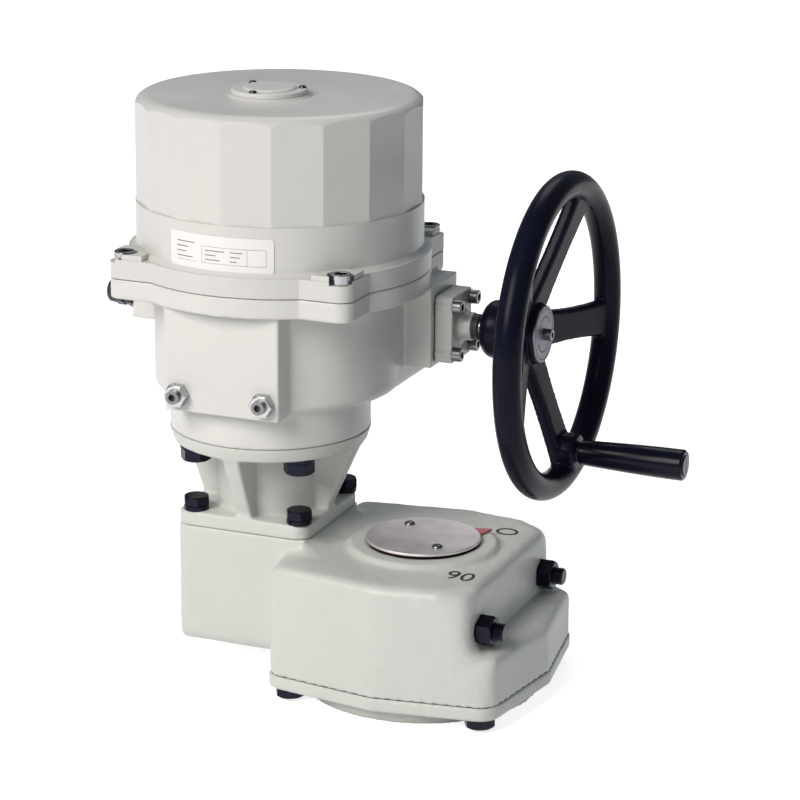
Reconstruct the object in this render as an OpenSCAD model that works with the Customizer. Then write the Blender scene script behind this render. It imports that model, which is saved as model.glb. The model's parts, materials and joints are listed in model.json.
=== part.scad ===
// Electric quarter-turn valve actuator on a spur reduction gearbox, with a dished handwheel.
// Origin: centre of the valve mounting face, under the gearbox. +Z up, +X to the handwheel, -Y front.

/* [Valve flange] */
// Radius of the round mounting boss
flange_r = 105; // [102:1:112]
// Height of the boss below the bottom plate
flange_h = 13; // [10:1:18]
// Radius of the circle of mounting holes
flange_hole_circle = 82.5; // [78:0.5:86]
// Radius of a tapped mounting hole
flange_hole_r = 8.75; // [6:0.25:9]
// Depth of a tapped mounting hole
flange_hole_depth = 21; // [15:1:22]
// Radius of the stem bore
stem_r = 25; // [18:1:28]
// Width of the stem keyway
stem_key_w = 14; // [8:1:16]
// Depth of the stem keyway beyond the bore
stem_key_h = 3.8; // [2:0.2:5]

/* [Gearbox case] */
// Thickness of the bottom plate
plate_t = 12; // [10:1:14]
// Distance from the output axis to the middle of a bowed side
case_half = 119; // [118:0.5:124]
// Radius of the case's upright corners
case_corner = 18; // [14:0.5:20]
// Angle between the two halves of a bowed side and its middle
bow = 8.5; // [6:0.5:9]
// How far the walls lean in from the bottom to the top
case_draft = 3; // [2:0.5:4]
// Wall thickness of the case
case_wall = 8; // [6:0.5:9]
// Height of the case without its indicator ring
case_h = 98.5; // [97:0.5:104]
// Height of the wide lower part
ledge_h = 43; // [36:1:44]
// How far the flat stop face stands inside the lower case
stop_face_inset = 36; // [33:0.5:40]
// Thickness of the case roof
roof_t = 12; // [11:0.5:14]
// Rounding along the upper edges
case_round = 9; // [5:0.5:10]
// Rounding along the edge of the low step
ledge_round = 11; // [7:0.5:13]
// Radius of the raised indicator ring
ring_r = 64.5; // [60:0.5:68]
// Height of the raised indicator ring
ring_h = 5; // [3:0.5:7]
// Half width of the pinion block
block_half = 60; // [59:0.5:62]
// Reach of the pinion block on the side away from the valve
block_left = 66; // [64:0.5:68]
// Reach of the bracket foot on the same side
foot_left = 65; // [63:0.5:67]
// Corner radius of the pinion block and of the bracket foot
block_corner = 12; // [10:1:18]
// Height of the pinion block's underside over the case joint
block_lift = 1; // [0.5:0.5:6]
// Height of the bracket seat over the case top
seat_rise = 10.5; // [8:0.5:12]
// Distance of the plate bolts inside the case's sides
plate_bolt_inset = 31; // [29:0.5:32]
// Thickness of the case gasket
case_gasket_t = 0.5; // [0.4:0.1:1]

/* [Spur gears] */
// Module of the pinion and the toothed sector
spur_m = 4; // [3.8:0.1:4]
// Teeth of the pinion
pinion_teeth = 23; // [22:1:23]
// Teeth of the full sector circle
sector_teeth = 50; // [48:1:50]
// Share of the pitch that a tooth takes
tooth_share = 0.46; // [0.4:0.01:0.47]
// Width of the sector's teeth
sector_w = 30; // [24:1:32]
// Width of the pinion's teeth
pinion_w = 34; // [28:1:36]
// Height of the gears' middle over the valve face
spur_z = 85; // [84:0.5:87]
// Travel of the gearbox output
output_travel = 90; // [90:1:90]
// Spare angle of teeth past each end of the travel
sector_spare = 12; // [10:1:14]
// Outer radius of the drive sleeve
sleeve_r = 40; // [36:1:41]
// Radial thickness of the sleeve bushes
bush_t = 7; // [4:0.5:8]

/* [Bracket] */
// Radius of the circle of bracket bolts
bracket_bolt_circle = 70; // [68:0.5:72]
// Thickness of the bracket foot
foot_t = 13; // [11:0.5:15]
// Thickness of the round bracket head
head_t = 12.5; // [10:0.5:14]
// Height of the bracket
bracket_h = 85.5; // [80:0.5:95]
// Radius of the bracket's round head
head_r = 89; // [86:0.5:91]
// Outer radius of the bracket tube
tube_r = 47; // [44:0.5:49]
// Bore radius of the bracket tube
tube_bore = 34; // [32:0.5:38]
// Thickness of a rib
rib_t = 15; // [10:0.5:18]

/* [Actuator base] */
// Radius of the neck
neck_r = 88.5; // [86:0.5:90]
// Height of the neck
neck_h = 32; // [28:0.5:34]
// How far the base drum stands inside the flange ring
drum_inset = 23; // [21:0.5:24]
// Height of the base above the neck
base_h = 108; // [106:0.5:112]
// Distance of the casing axis behind the output axis
casing_back = 17; // [15:0.5:18]
// Radius of the rounded lower edge
base_round = 9; // [6:0.5:10]
// Wall of the base
base_wall = 8; // [6:0.5:9]
// Half width of the stop box at the front
stop_box_half = 53.5; // [52:0.5:56]
// Distance of the stop box front from the casing axis
stop_box_reach = 118; // [116:0.5:120]
// Side wall of the stop box
box_wall = 6; // [4:0.5:7]
// Half spacing of the travel stop screws
stop_half = 40; // [38:0.5:42]
// Height of the stop screws over the base floor
stop_lift = 15; // [14:0.5:16]
// Thickness of each flange
rim_t = 17; // [15:0.5:18]
// Radius of the flange ring
rim_r = 132; // [131:0.5:134]
// How far the sides of the ears stand inside the flange ring
ear_inset = 19; // [16:0.5:20]
// Corner radius of an ear
ear_corner = 13; // [11:0.5:14]
// Distance of the cover screws inside the sides of the ears
ear_screw_inset = 12.5; // [12:0.5:14]
// Thickness of the cover gasket
cover_gasket_t = 0.8; // [0.5:0.1:1.2]

/* [Cover] */
// How far the cover's round band stands inside the flange ring
band_inset = 6.5; // [5:0.5:8]
// Sideways distance of the cover's axis from the output axis
cover_shift = 2.2; // [0:0.2:3]
// Number of flat facets
facets = 18; // [16:2:20]
// Turn of the facets about the cover's axis
facet_turn = 1; // [0:0.5:4]
// Height of the round band above its flange
band_h = 42; // [36:1:48]
// Height of the faceted wall
facet_h = 79; // [72:0.5:86]
// Rise of the rounded shoulder
shoulder_h = 12.5; // [10:0.5:14]
// How far the edge of the flat top stands inside the round band
top_inset = 12; // [9:0.5:15]
// Wall of the cover
cover_wall = 6; // [4:0.5:7]
// Outer radius of the indicator window ring
window_r = 33; // [31:0.5:35]
// Radius of the window cap
window_cap_r = 23.5; // [21:0.5:24.5]
// Height of the window ring
window_h = 4.2; // [3:0.2:5]
// Height of the raised pad around each cover screw
ear_pad_h = 4.5; // [3:0.5:6]
// Height of the label
label_h = 29.5; // [26:0.5:32]
// Half width of the label
label_half = 47; // [44:0.5:50]
// Height of the label over the flange
label_lift = 4.2; // [4:0.2:7]

/* [Worm drive] */
// Axial module of the worm
worm_m = 3.5; // [3.5:0.1:3.5]
// Teeth of the worm wheel
wheel_teeth = 32; // [32:1:32]
// Pitch radius of the worm
worm_r = 18; // [18:0.5:18]
// Height of the worm axis over the underside of the base
worm_lift = 54; // [53:0.5:55]
// Toothed length of the worm
worm_len = 52; // [44:2:56]
// Face width of the worm wheel
wheel_w = 20; // [16:1:22]
// Radius of the worm shaft in its bearings
shaft_r = 10; // [9:0.5:11]
// Radius of the worm shaft in the handwheel
shaft_end_r = 8; // [7:0.5:9]
// Radial running clearance of shafts in their bearings
run_gap = 0.05; // [0.02:0.01:0.08]
// Distance from the output axis to the pad face
pad_reach = 134; // [132:0.5:136]
// Half width of the pad
pad_half_y = 31; // [29:0.5:33]
// Half height of the pad
pad_half_z = 37; // [35:0.5:38]
// Half width of the shaft cover
side_half_y = 24; // [23:0.5:26]
// Half height of the shaft cover
side_half_z = 30; // [29:0.5:32]
// Thickness of the shaft cover
side_t = 16.5; // [14:0.5:18]
// Radius of the shaft cover's boss
side_boss_r = 12.5; // [12:0.5:14]
// Length of the shaft cover's boss
side_boss_l = 12; // [10:0.5:14]

/* [Handwheel] */
// Outer radius of the handwheel
hand_r = 143; // [138:0.5:146]
// Radius of the rim's section
rim_section_r = 11.2; // [10:0.2:12]
// Distance of the rim plane from the output axis of the gearbox
rim_x = 95.6; // [94:0.2:98]
// Number of spokes
spokes = 5; // [5:1:5]
// Angle of the first spoke
spoke_start = -6; // [-8:1:-4]
// Dish of the spokes, as a slope
spoke_slope = 0.26; // [0.22:0.01:0.3]
// Width of a spoke at its middle
spoke_w = 26; // [20:1:28]
// Thickness of a spoke
spoke_t = 10; // [8:0.5:12]
// Radius of the hub
hub_r = 25.4; // [24:0.2:27]
// Place of the hub's outer face
hub_face = 80; // [78:0.5:82]
// Length of the hub
hub_len = 56.5; // [54:0.5:57]
// Distance of the handle from the hub
handle_at = 113; // [110:0.5:115]
// Length of the grip
grip_len = 98; // [90:1:104]
// Radius of the grip at its outer end
grip_r = 13.8; // [12:0.2:15]

/* [Hidden] */
$fn = 64;

// Paint and metal colours
paint = "#cfd0c8";
cast_paint = "#c9cec6";
black_oxide = "#24262e";
bright = "#c4c6c8";
steel = "#9a9da0";
bronze = "#b08d4f";
gloss_black = "#1b1d2b";
rubber_black = "#202022";

// Heights of the gearbox stack
plate_z = flange_h;
joint_z = plate_z + plate_t;
case_z = joint_z + case_gasket_t;
ledge_z = case_z + ledge_h;
roof_z = case_z + case_h;
ring_z = roof_z + ring_h;
block_z = case_z + block_lift;
seat_z = roof_z + seat_rise;
cavity_top = roof_z - roof_t;
top_half = case_half - case_draft;
stop_face = case_half - stop_face_inset;
plate_bolt_half = case_half - plate_bolt_inset;

// Gearbox gears
spur_a = spur_m * (pinion_teeth + sector_teeth) / 2;
axis_x = -spur_a;
pinion_pitch = spur_m * pinion_teeth / 2;
sector_pitch = spur_m * sector_teeth / 2;
input_travel = output_travel * sector_teeth / pinion_teeth;
bush_r = sleeve_r + bush_t;
seal_t = 4;
bush_inset = 1;
sleeve_foot = 1.5;
sleeve_top = ring_z + 0.3;
pointer_t = 2;
pointer_r = 44;
pointer_tip = 66;
pointer_angle = 45;
pointer_half = 8;
disc_r = 50.4;
disc_t = 2;
disc_screw_at = 33;
sector_hub_r = sleeve_r + 16;
sector_key_w = 12;
sector_key_h = 4;
case_stop_r = 8;
case_stop_y = 76;
case_stop_out = stop_face + 22;
case_stop_z = spur_z;
case_stop_gap = 0.5;
pinion_shaft_r = 17.5;
pinion_top_r = 16;
drive_half = 11;
pinion_bearing_t = 9;
pinion_bearing_h = 12;
post_r = 14;

// M16 and M14 hardware
m16_r = 8;
m16_af = 24;
m16_head = 10;
m16_nut = 13;
upper_head = 11.5;
m14_r = 7;
m14_af = 21;
m14_head = 8.8;
m12_r = 6;
washer_t = 3;
spring_washer_t = 3.6;
thread_fit = 0.02;
hole_gap = 0.8;

// Bracket and actuator heights
foot_z = seat_z;
foot_top = foot_z + foot_t;
neck_z = foot_z + bracket_h;
head_z = neck_z - head_t;
base_z = neck_z + neck_h;
base_top = base_z + base_h;
cover_z = base_top + cover_gasket_t;
rim_top = cover_z + rim_t;
facet_z = rim_top + band_h;
shoulder_z = facet_z + facet_h;
top_z = shoulder_z + shoulder_h;
bolt_half = bracket_bolt_circle / sqrt(2);
front_y = casing_back - stop_box_reach;
cover_r = rim_r - band_inset;
top_flat_r = cover_r - top_inset;
drum_r = rim_r - drum_inset;
ear_half = rim_r - ear_inset;
ear_screw_half = ear_half - ear_screw_inset;
band_fillet = 4;
ear_seat_drop = 3;
ear_pocket_r = 11.5;
ear_pad_half = 22;
ear_slot_half = 9.5;
ear_slot_turn = -22;
ear_head_h = 8.6;
window_foot_h = 2;
gasket_w = 16;
floor_z = base_z + 8;
stop_z = base_z + stop_lift;
worm_z = base_z + worm_lift;
stop_tip = 38;
stop_nut_af = 18.5;
stop_nut_t = 9;
stop_screw_out = 4;
quadrant_r = 62;
quadrant_t = 10;
quadrant_gap = 0.6;

// Worm drive
wheel_r = worm_m * wheel_teeth / 2;
worm_y = wheel_r + worm_r;
lead = PI * worm_m;
worm_add = 3;
worm_ded = 4;
worm_share = 0.42;
crest_share = 0.11;
flank_share = 0.17;
lead_angle = atan(worm_m / (2 * worm_r));
pad_face = axis_x + pad_reach;
side_gasket_t = 0.6;
side_face = pad_face + side_gasket_t + side_t;
side_boss_end = side_face + side_boss_l;
d_side = drum_r - 1;
d_right = axis_x + d_side;
d_back = casing_back + d_side;
d_corner = 20;
bearing_r = 15;
bearing_w = 11;
bearing_in_x = axis_x + 34;
bearing_left_x = axis_x - 52;
out_shaft_r = 20;
out_bearing_t = 12;
wheel_hub_r = 32;
output_key_l = worm_z + wheel_w / 2 - stop_z + quadrant_t / 2;
wheel_key_w = 10;
key_half_h = 3;

// Motor gear train, module and teeth
train_m = 1.5;
gear_a_teeth = 48;
gear_b_teeth = 30;
gear_c_teeth = 16;
gear_a_r = train_m * gear_a_teeth / 2;
gear_b_r = train_m * gear_b_teeth / 2;
gear_c_r = train_m * gear_c_teeth / 2;
train_x = axis_x + 53;
train_w = 9;
motor_y = 56;
motor_z = worm_z + 88;
motor_r = 27;
motor_len = 104;
train_plate_t = 5;
train_plate_x = train_x - train_w / 2 - 6;
plate_floor = base_top - 11;
plate_level = plate_floor + 5;
idler_pin_r = 4;
span_ac = norm([motor_y - worm_y, motor_z - worm_z]);
span_ab = gear_a_r + gear_b_r;
span_bc = gear_b_r + gear_c_r;
// Angles in the plane of the gears, measured from +Y toward +Z
angle_ac = atan2(motor_z - worm_z, motor_y - worm_y);
angle_a = acos((span_ab * span_ab + span_ac * span_ac - span_bc * span_bc) / (2 * span_ab * span_ac));
angle_ab = angle_ac - angle_a;
idler_y = worm_y + span_ab * cos(angle_ab);
idler_z = worm_z + span_ab * sin(angle_ab);
angle_bc = atan2(motor_z - idler_z, motor_y - idler_y);
// Phases that leave the teeth in mesh at rest
phase_b = angle_ab + 180 + 180 / gear_b_teeth + angle_ab * gear_a_teeth / gear_b_teeth;
phase_c = angle_bc + 180 + 180 / gear_c_teeth + (angle_bc - phase_b) * gear_b_teeth / gear_c_teeth;

// Handwheel
rim_circle = hand_r - rim_section_r;
hub_in = hub_face - hub_len;
handle_angle = spoke_start - 360 / spokes;
handle_y = worm_y + handle_at * cos(handle_angle);
handle_z = worm_z + handle_at * sin(handle_angle);
handle_boss_r = 15;
handle_seat = rim_x + 12.5;
spindle_r = 6;
waist_r = 480;
hub_round = 10;
hub_screw_head = 7.5;
grip_in_r = 11;

// Small helpers

// Ring with a true bore
module ring(outer, inner, h) {
    difference() {
        cylinder(r = outer, h = h);
        translate([0, 0, -1]) cylinder(r = inner, h = h + 2);
    }
}

// Square with true round corners
module soft_square(half_x, half_y, corner) {
    square([2 * half_x - 2 * corner, 2 * half_y], center = true);
    square([2 * half_x, 2 * half_y - 2 * corner], center = true);
    for (x = [-1, 1], y = [-1, 1])
        translate([x * (half_x - corner), y * (half_y - corner)]) circle(r = corner);
}

// Hexagon across flats
module hex(af, h) {
    cylinder(r = af / 2 / cos(30), h = h, $fn = 6);
}

// Hexagon bolt or nut body whose corners are turned off at one end
module turned_hex(af, h) {
    intersection() {
        hex(af, h);
        union() {
            cylinder(r = af, h = h - af / 14);
            translate([0, 0, h - af / 14])
                cylinder(r1 = af / 2 / cos(30), r2 = af / 2 * 0.96, h = af / 14);
        }
    }
}

// Hexagon bolt, head up, seated at z = 0
module hex_bolt(r, af, head, shank) {
    cylinder(r = af * 0.47, h = 0.9);
    translate([0, 0, 0.8]) turned_hex(af, head - 0.8);
    translate([0, 0, -shank]) cylinder(r = r, h = shank + 0.1);
}

// Socket head screw, head up, seated at z = 0
module socket_screw(r, head_r, head, shank, key_af) {
    difference() {
        union() {
            cylinder(r = head_r, h = head * 0.94);
            translate([0, 0, head * 0.94]) cylinder(r1 = head_r, r2 = head_r * 0.93, h = head * 0.06);
        }
        translate([0, 0, head * 0.45]) hex(key_af, head);
    }
    translate([0, 0, -shank]) cylinder(r = r, h = shank + 0.1);
}

// Places at the four corners of a square
module at_corners(half_x, half_y) {
    for (x = [-1, 1], y = [-1, 1]) translate([x * half_x, y * half_y, 0]) children();
}

// A part whose own +Z lies along +X
module along_x(x, y, z) {
    translate([x, y, z]) rotate([0, 90, 0]) children();
}

// Move to the actuator's output axis, to the casing axis and to the cover's axis
module at_output() {
    translate([axis_x, 0, 0]) children();
}
module at_cover() {
    translate([axis_x + cover_shift, casing_back, 0]) children();
}
module at_casing() {
    translate([axis_x, casing_back, 0]) children();
}

// Spur gear outline: flanks drawn from pitch thickness, narrowing to the tip
function tooth_points(pitch, m, teeth, share, a) =
    let (half = 180 / teeth * share)
    [[pitch - 1.4 * m, half * 1.52], [pitch - 0.55 * m, half * 1.2], [pitch, half],
     [pitch + 0.5 * m, half * 0.72], [pitch + 0.95 * m, half * 0.38]];
function polar(r, a) = [r * cos(a), r * sin(a)];
module spur_outline(m, teeth, share, first, last, phase) {
    pitch = m * teeth / 2;
    rows = tooth_points(pitch, m, teeth, share, 0);
    circle(r = pitch - 1.2 * m);
    for (i = [first:last])
        let (a = phase + i * 360 / teeth)
            polygon(concat([for (p = rows) polar(p[0], a - p[1])],
                [for (k = [len(rows) - 1:-1:0]) polar(rows[k][0], a + rows[k][1])]));
}

// Convex outline: bowed sides that meet in round corners
module bowed_outline(half, corner) {
    side = half * cos(bow);
    c = (side - corner) / (cos(bow) + sin(bow));
    polygon([for (k = [0:3]) each [polar(half, 90 * k),
        polar(c * sqrt(2), 45 + 90 * k) + polar(corner, 90 * k + bow),
        polar(c * sqrt(2), 45 + 90 * k) + polar(corner, 90 * k + 90 - bow)]]);
    for (k = [0:3]) rotate(45 + 90 * k) translate([c * sqrt(2), 0]) circle(r = corner);
}

// Gearbox

module flange_holes() {
    for (i = [0:3]) rotate(45 + 90 * i)
        translate([flange_hole_circle, 0, -1]) cylinder(r = flange_hole_r, h = flange_hole_depth + 1);
}

module bottom_plate() color(cast_paint) difference() {
    union() {
        cylinder(r = flange_r, h = plate_z + 0.1, $fn = 128);
        translate([0, 0, plate_z]) linear_extrude(plate_t) bowed_outline(case_half + 1, case_corner + 1);
    }
    translate([0, 0, -1]) cylinder(r = bush_r, h = joint_z + 2);
    flange_holes();
    at_corners(plate_bolt_half, plate_bolt_half)
        translate([0, 0, plate_z - 1]) cylinder(r = m16_r + hole_gap, h = plate_t + 2);
}

module case_gasket() color(rubber_black) translate([0, 0, joint_z]) linear_extrude(case_gasket_t)
    difference() {
        bowed_outline(case_half - 0.8, case_corner - 0.8);
        difference() {
            bowed_outline(case_half - case_wall, case_corner - case_wall);
            at_corners(plate_bolt_half, plate_bolt_half) circle(r = post_r);
        }
        at_corners(plate_bolt_half, plate_bolt_half) circle(r = m16_r + hole_gap);
    }

// Cuts that round a straight upper edge: its side's normal points to an angle
module edge_cuts(angle, distance, z, r) {
    for (tilt = [15:30:75]) rotate(angle) translate([distance - r, 0, z - r]) rotate([0, -tilt, 0])
        translate([r, -2 * case_half, -2 * r]) cube([2 * r, 4 * case_half, 4 * r]);
}

// Slanting cuts that lean the upright walls inward toward the top
module draft_cuts() {
    lean = atan(case_draft / case_h);
    for (side = [0, 90, 180, 270], s = [-1, 1])
        rotate(side + s * bow) translate([case_half * cos(bow), 0, case_z]) rotate([0, -lean, 0])
            translate([0, -2 * case_half, -case_h]) cube([case_half, 4 * case_half, 3 * case_h]);
}

module case_body() difference() {
    union() {
        difference() {
            translate([0, 0, case_z]) linear_extrude(ledge_h) bowed_outline(case_half, case_corner);
            for (s = [-1, 1]) edge_cuts(s * bow, case_half * cos(bow), ledge_z, ledge_round);
        }
        difference() {
            translate([0, 0, case_z]) linear_extrude(case_h) intersection() {
                bowed_outline(case_half, case_corner);
                translate([-2 * case_half, -2 * case_half]) square([2 * case_half + stop_face, 4 * case_half]);
            }
            edge_cuts(0, stop_face, roof_z, case_round);
            for (side = [90, 180, 270], s = [-1, 1])
                edge_cuts(side + s * bow, case_half * cos(bow) - case_draft * 0.95, roof_z, case_round);
        }
    }
    draft_cuts();
}

// Outline of the block and the foot: it reaches further on the side away from the valve
module block_outline(left, half, corner) translate([(half - left) / 2, 0])
    soft_square((half + left) / 2, half, corner);

module pinion_block() difference() {
    translate([0, 0, block_z]) linear_extrude(seat_z - block_z) {
        block_outline(block_left, block_half, block_corner);
        translate([0, -block_half]) square([block_half, 2 * block_half]);
    }
    for (a = [90, 270]) rotate(a) mirror([0, 0, 1]) edge_cuts(0, block_half, -block_z, 9);
    mirror([0, 0, 1]) edge_cuts(180, block_left, -block_z, 9);
}

// Slope between the bracket seat and the case top
module seat_slope() translate([block_half, block_half - 4, roof_z]) rotate([90, 0, 0])
    linear_extrude(2 * block_half - 8) polygon([[-1, -1], [seat_rise, -1], [seat_rise, 0], [3, seat_rise - 3],
        [0, seat_rise - 1], [-1, seat_rise - 1]]);

module case_cavity() {
    translate([0, 0, case_z - 1]) linear_extrude(cavity_top - case_z + 1) difference() {
        intersection() {
            bowed_outline(top_half - case_wall, case_corner - case_wall);
            translate([-2 * case_half, -2 * case_half])
                square([2 * case_half + stop_face - case_wall, 4 * case_half]);
        }
        at_corners(plate_bolt_half, plate_bolt_half) circle(r = post_r);
    }
    translate([0, 0, block_z + case_wall]) at_output() linear_extrude(cavity_top - block_z - case_wall) {
        block_outline(block_left - case_wall, block_half - case_wall, block_corner - case_wall);
        translate([0, case_wall - block_half]) square([block_half, 2 * (block_half - case_wall)]);
    }
}

module gear_case() color(cast_paint) {
    difference() {
        union() {
            case_body();
            translate([0, 0, roof_z - 1]) cylinder(r1 = ring_r + 4.8, r2 = ring_r - 0.8, h = ring_h + 1, $fn = 96);
            at_output() pinion_block();
            at_output() seat_slope();
        }
        case_cavity();
        translate([0, 0, cavity_top - 1]) cylinder(r = bush_r, h = ring_h + roof_t + 2);
        at_corners(plate_bolt_half, plate_bolt_half)
            translate([0, 0, case_z - 1]) cylinder(r = m16_r + thread_fit, h = 26);
        for (y = [-case_stop_y, case_stop_y])
            along_x(stop_face - case_wall - 1, y, case_stop_z) cylinder(r = case_stop_r + thread_fit, h = 20);
        at_output() {
            translate([0, 0, cavity_top - 1]) cylinder(r = pinion_shaft_r + pinion_bearing_t, h = seat_z);
            at_corners(bolt_half, bolt_half)
                translate([0, 0, seat_z - 21]) cylinder(r = m14_r + thread_fit, h = 22);
        }
    }
    at_output() translate([0, 0, block_z + case_wall - 1]) pinion_seat();
}

// Raised seat in the block's floor for the lower pinion bearing
module pinion_seat() ring(pinion_shaft_r + pinion_bearing_t + 6, pinion_shaft_r + pinion_bearing_t, pinion_bearing_h + 1);

module plate_bolts() color(black_oxide) at_corners(plate_bolt_half, plate_bolt_half)
    translate([0, 0, plate_z]) mirror([0, 0, 1]) hex_bolt(m16_r, m16_af, m16_head, plate_t + 20);

module drive_sleeve() color(steel) difference() {
    translate([0, 0, sleeve_foot]) cylinder(r = sleeve_r, h = sleeve_top - sleeve_foot);
    translate([0, 0, -1]) cylinder(r = stem_r, h = sleeve_top - 6);
    translate([0, -stem_key_w / 2, -1]) cube([stem_r + stem_key_h, stem_key_w, sleeve_top - 6]);
    for (s = [0, 180]) rotate(s - 47) translate([disc_screw_at, 0, sleeve_top - 6.5]) cylinder(r = 2.52, h = 8);
    translate([sleeve_r - sector_key_h / 2, -sector_key_w / 2, spur_z - sector_w / 2])
        cube([sector_key_h, sector_key_w, sector_w]);
}

module sleeve_bushes() color(bronze) {
    translate([0, 0, bush_inset + seal_t]) ring(bush_r, sleeve_r + run_gap, joint_z - bush_inset - seal_t);
    translate([0, 0, cavity_top]) ring(bush_r, sleeve_r + run_gap, roof_t + ring_h - seal_t - bush_inset);
}

module sleeve_seals() color(rubber_black) {
    translate([0, 0, bush_inset]) ring(bush_r, sleeve_r + run_gap, seal_t);
    translate([0, 0, ring_z - bush_inset - seal_t]) ring(bush_r, sleeve_r + run_gap, seal_t);
}

module sector_2d(from, to, r) {
    steps = 6;
    polygon(concat([[0, 0]], [for (i = [0:steps]) polar(r / cos((to - from) / steps / 2),
        from + (to - from) * i / steps)]));
}

// Toothed sector. The pinion lies toward 180 degrees at rest and toward 270 at the closed end.
sector_from = 180 - sector_spare;
sector_to = 180 + output_travel + sector_spare;
sector_first = ceil((sector_from + 2 - 180) / (360 / sector_teeth));
sector_last = floor((sector_to - 2 - 180) / (360 / sector_teeth));
module toothed_sector() color(steel) translate([0, 0, spur_z - sector_w / 2]) difference() {
    union() {
        linear_extrude(sector_w) intersection() {
            spur_outline(spur_m, sector_teeth, tooth_share, sector_first, sector_last, 180);
            sector_2d(sector_from, sector_to, sector_pitch + 2 * spur_m);
        }
        cylinder(r = sector_hub_r, h = sector_w);
    }
    translate([0, 0, -1]) cylinder(r = sleeve_r + thread_fit, h = sector_w + 2);
    translate([0, -sector_key_w / 2, -1]) cube([sleeve_r + sector_key_h / 2, sector_key_w, sector_w + 2]);
}

module sector_key() color(steel)
    translate([sleeve_r - sector_key_h / 2, -sector_key_w / 2, spur_z - sector_w / 2])
        cube([sector_key_h, sector_key_w, sector_w]);

// Inner ends of the stop screws meet the sector's two end faces
case_stop_in = (case_stop_y + case_stop_r) * tan(sector_spare) + case_stop_gap;
module case_stop_screws() color(black_oxide) for (y = [-case_stop_y, case_stop_y])
    along_x(case_stop_in, y, case_stop_z) cylinder(r = case_stop_r, h = case_stop_out - case_stop_in);

module case_stop_nuts() color(black_oxide) for (y = [-case_stop_y, case_stop_y])
    along_x(stop_face, y, case_stop_z) difference() {
        turned_hex(m16_af, m16_nut);
        translate([0, 0, -1]) cylinder(r = case_stop_r + thread_fit, h = m16_nut + 2);
    }

module pointer() color("#c4606a") translate([0, 0, sleeve_top]) linear_extrude(pointer_t) difference() {
    union() {
        circle(r = pointer_r);
        rotate(pointer_angle) polygon([[pointer_r - 10, -pointer_half], [disc_r + 2, -pointer_half], [pointer_tip, 0],
            [disc_r + 2, pointer_half], [pointer_r - 10, pointer_half]]);
    }
    for (s = [0, 180]) rotate(s - 47) translate([disc_screw_at, 0]) circle(r = 2.6);
}

module indicator_disc() color("#d9cfcb") translate([0, 0, sleeve_top + pointer_t]) difference() {
    union() {
        cylinder(r = disc_r, h = disc_t - 0.8, $fn = 96);
        translate([0, 0, disc_t - 0.8]) cylinder(r1 = disc_r, r2 = disc_r - 0.8, h = 0.8, $fn = 96);
    }
    for (s = [0, 180]) rotate(s - 47) translate([disc_screw_at, 0, -1]) cylinder(r = 2.6, h = disc_t + 2);
}

module disc_screws() color(steel) translate([0, 0, sleeve_top + pointer_t + disc_t])
    for (s = [0, 180]) rotate(s - 47) translate([disc_screw_at, 0, 0]) difference() {
        union() {
            cylinder(r = 4.8, h = 1.4);
            translate([0, 0, 1.3]) cylinder(r1 = 4.8, r2 = 3.2, h = 1.6);
            translate([0, 0, -disc_t - pointer_t - 6]) cylinder(r = 2.5, h = disc_t + pointer_t + 6.1);
        }
        translate([0, 0, 2.6]) cube([5, 1, 2], center = true);
        translate([0, 0, 2.6]) cube([1, 5, 2], center = true);
    }

// Pinion and its shaft, phased to mesh with the sector
module pinion_shaft() color(steel) at_output() {
    translate([0, 0, spur_z - pinion_w / 2]) linear_extrude(pinion_w)
        spur_outline(spur_m, pinion_teeth, tooth_share, 0, pinion_teeth - 1, 180 / pinion_teeth);
    difference() {
        translate([0, 0, block_z + case_wall + 1])
            cylinder(r = pinion_shaft_r, h = seat_z - block_z - case_wall - 1);
        translate([0, 0, block_z]) cylinder(r = 3, h = case_wall + 6);
    }
    translate([0, 0, seat_z - 0.1]) cylinder(r = pinion_top_r, h = neck_z - seat_z);
    translate([-drive_half, -drive_half, neck_z - 1]) cube([2 * drive_half, 2 * drive_half, neck_h + 4]);
}

module pinion_bearings() color(steel) at_output() {
    translate([0, 0, block_z + case_wall])
        ring(pinion_shaft_r + pinion_bearing_t, pinion_shaft_r + run_gap, pinion_bearing_h);
    translate([0, 0, seat_z - pinion_bearing_h - 2])
        ring(pinion_shaft_r + pinion_bearing_t, pinion_shaft_r + run_gap, pinion_bearing_h);
}

// Bracket

// Tapering rib from the head down to the foot, pointing along +X
module rib(reach) translate([0, rib_t / 2, 0]) rotate([90, 0, 0]) linear_extrude(rib_t)
    polygon([[tube_r - 3, foot_top - 1], [reach - 0.5, foot_top - 1], [reach - 1, foot_top + 4],
        [head_r - 4, head_z + 1], [tube_r - 3, head_z + 1]]);

module bracket() color(cast_paint) at_output() difference() {
    union() {
        translate([0, 0, foot_z]) linear_extrude(foot_t) block_outline(foot_left, block_half, block_corner);
        translate([0, 0, foot_z]) cylinder(r = tube_r, h = bracket_h);
        translate([0, 0, head_z]) cylinder(r1 = head_r - 3.5, r2 = head_r, h = head_t, $fn = 96);
        for (i = [0:3]) rotate(90 * i) rib(i == 2 ? foot_left : block_half);
    }
    translate([0, 0, foot_z - 1]) cylinder(r = tube_bore, h = bracket_h + 2);
    at_corners(bolt_half, bolt_half) {
        translate([0, 0, foot_z - 1]) cylinder(r = m14_r + hole_gap, h = foot_t + 2);
        translate([0, 0, head_z - 1]) cylinder(r = m16_r + hole_gap, h = head_t + 2);
    }
}

module lower_bolts() color(black_oxide) at_output() at_corners(bolt_half, bolt_half)
    translate([0, 0, foot_top + spring_washer_t])
        hex_bolt(m14_r, m14_af, m14_head, foot_t + spring_washer_t + 18);

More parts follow.
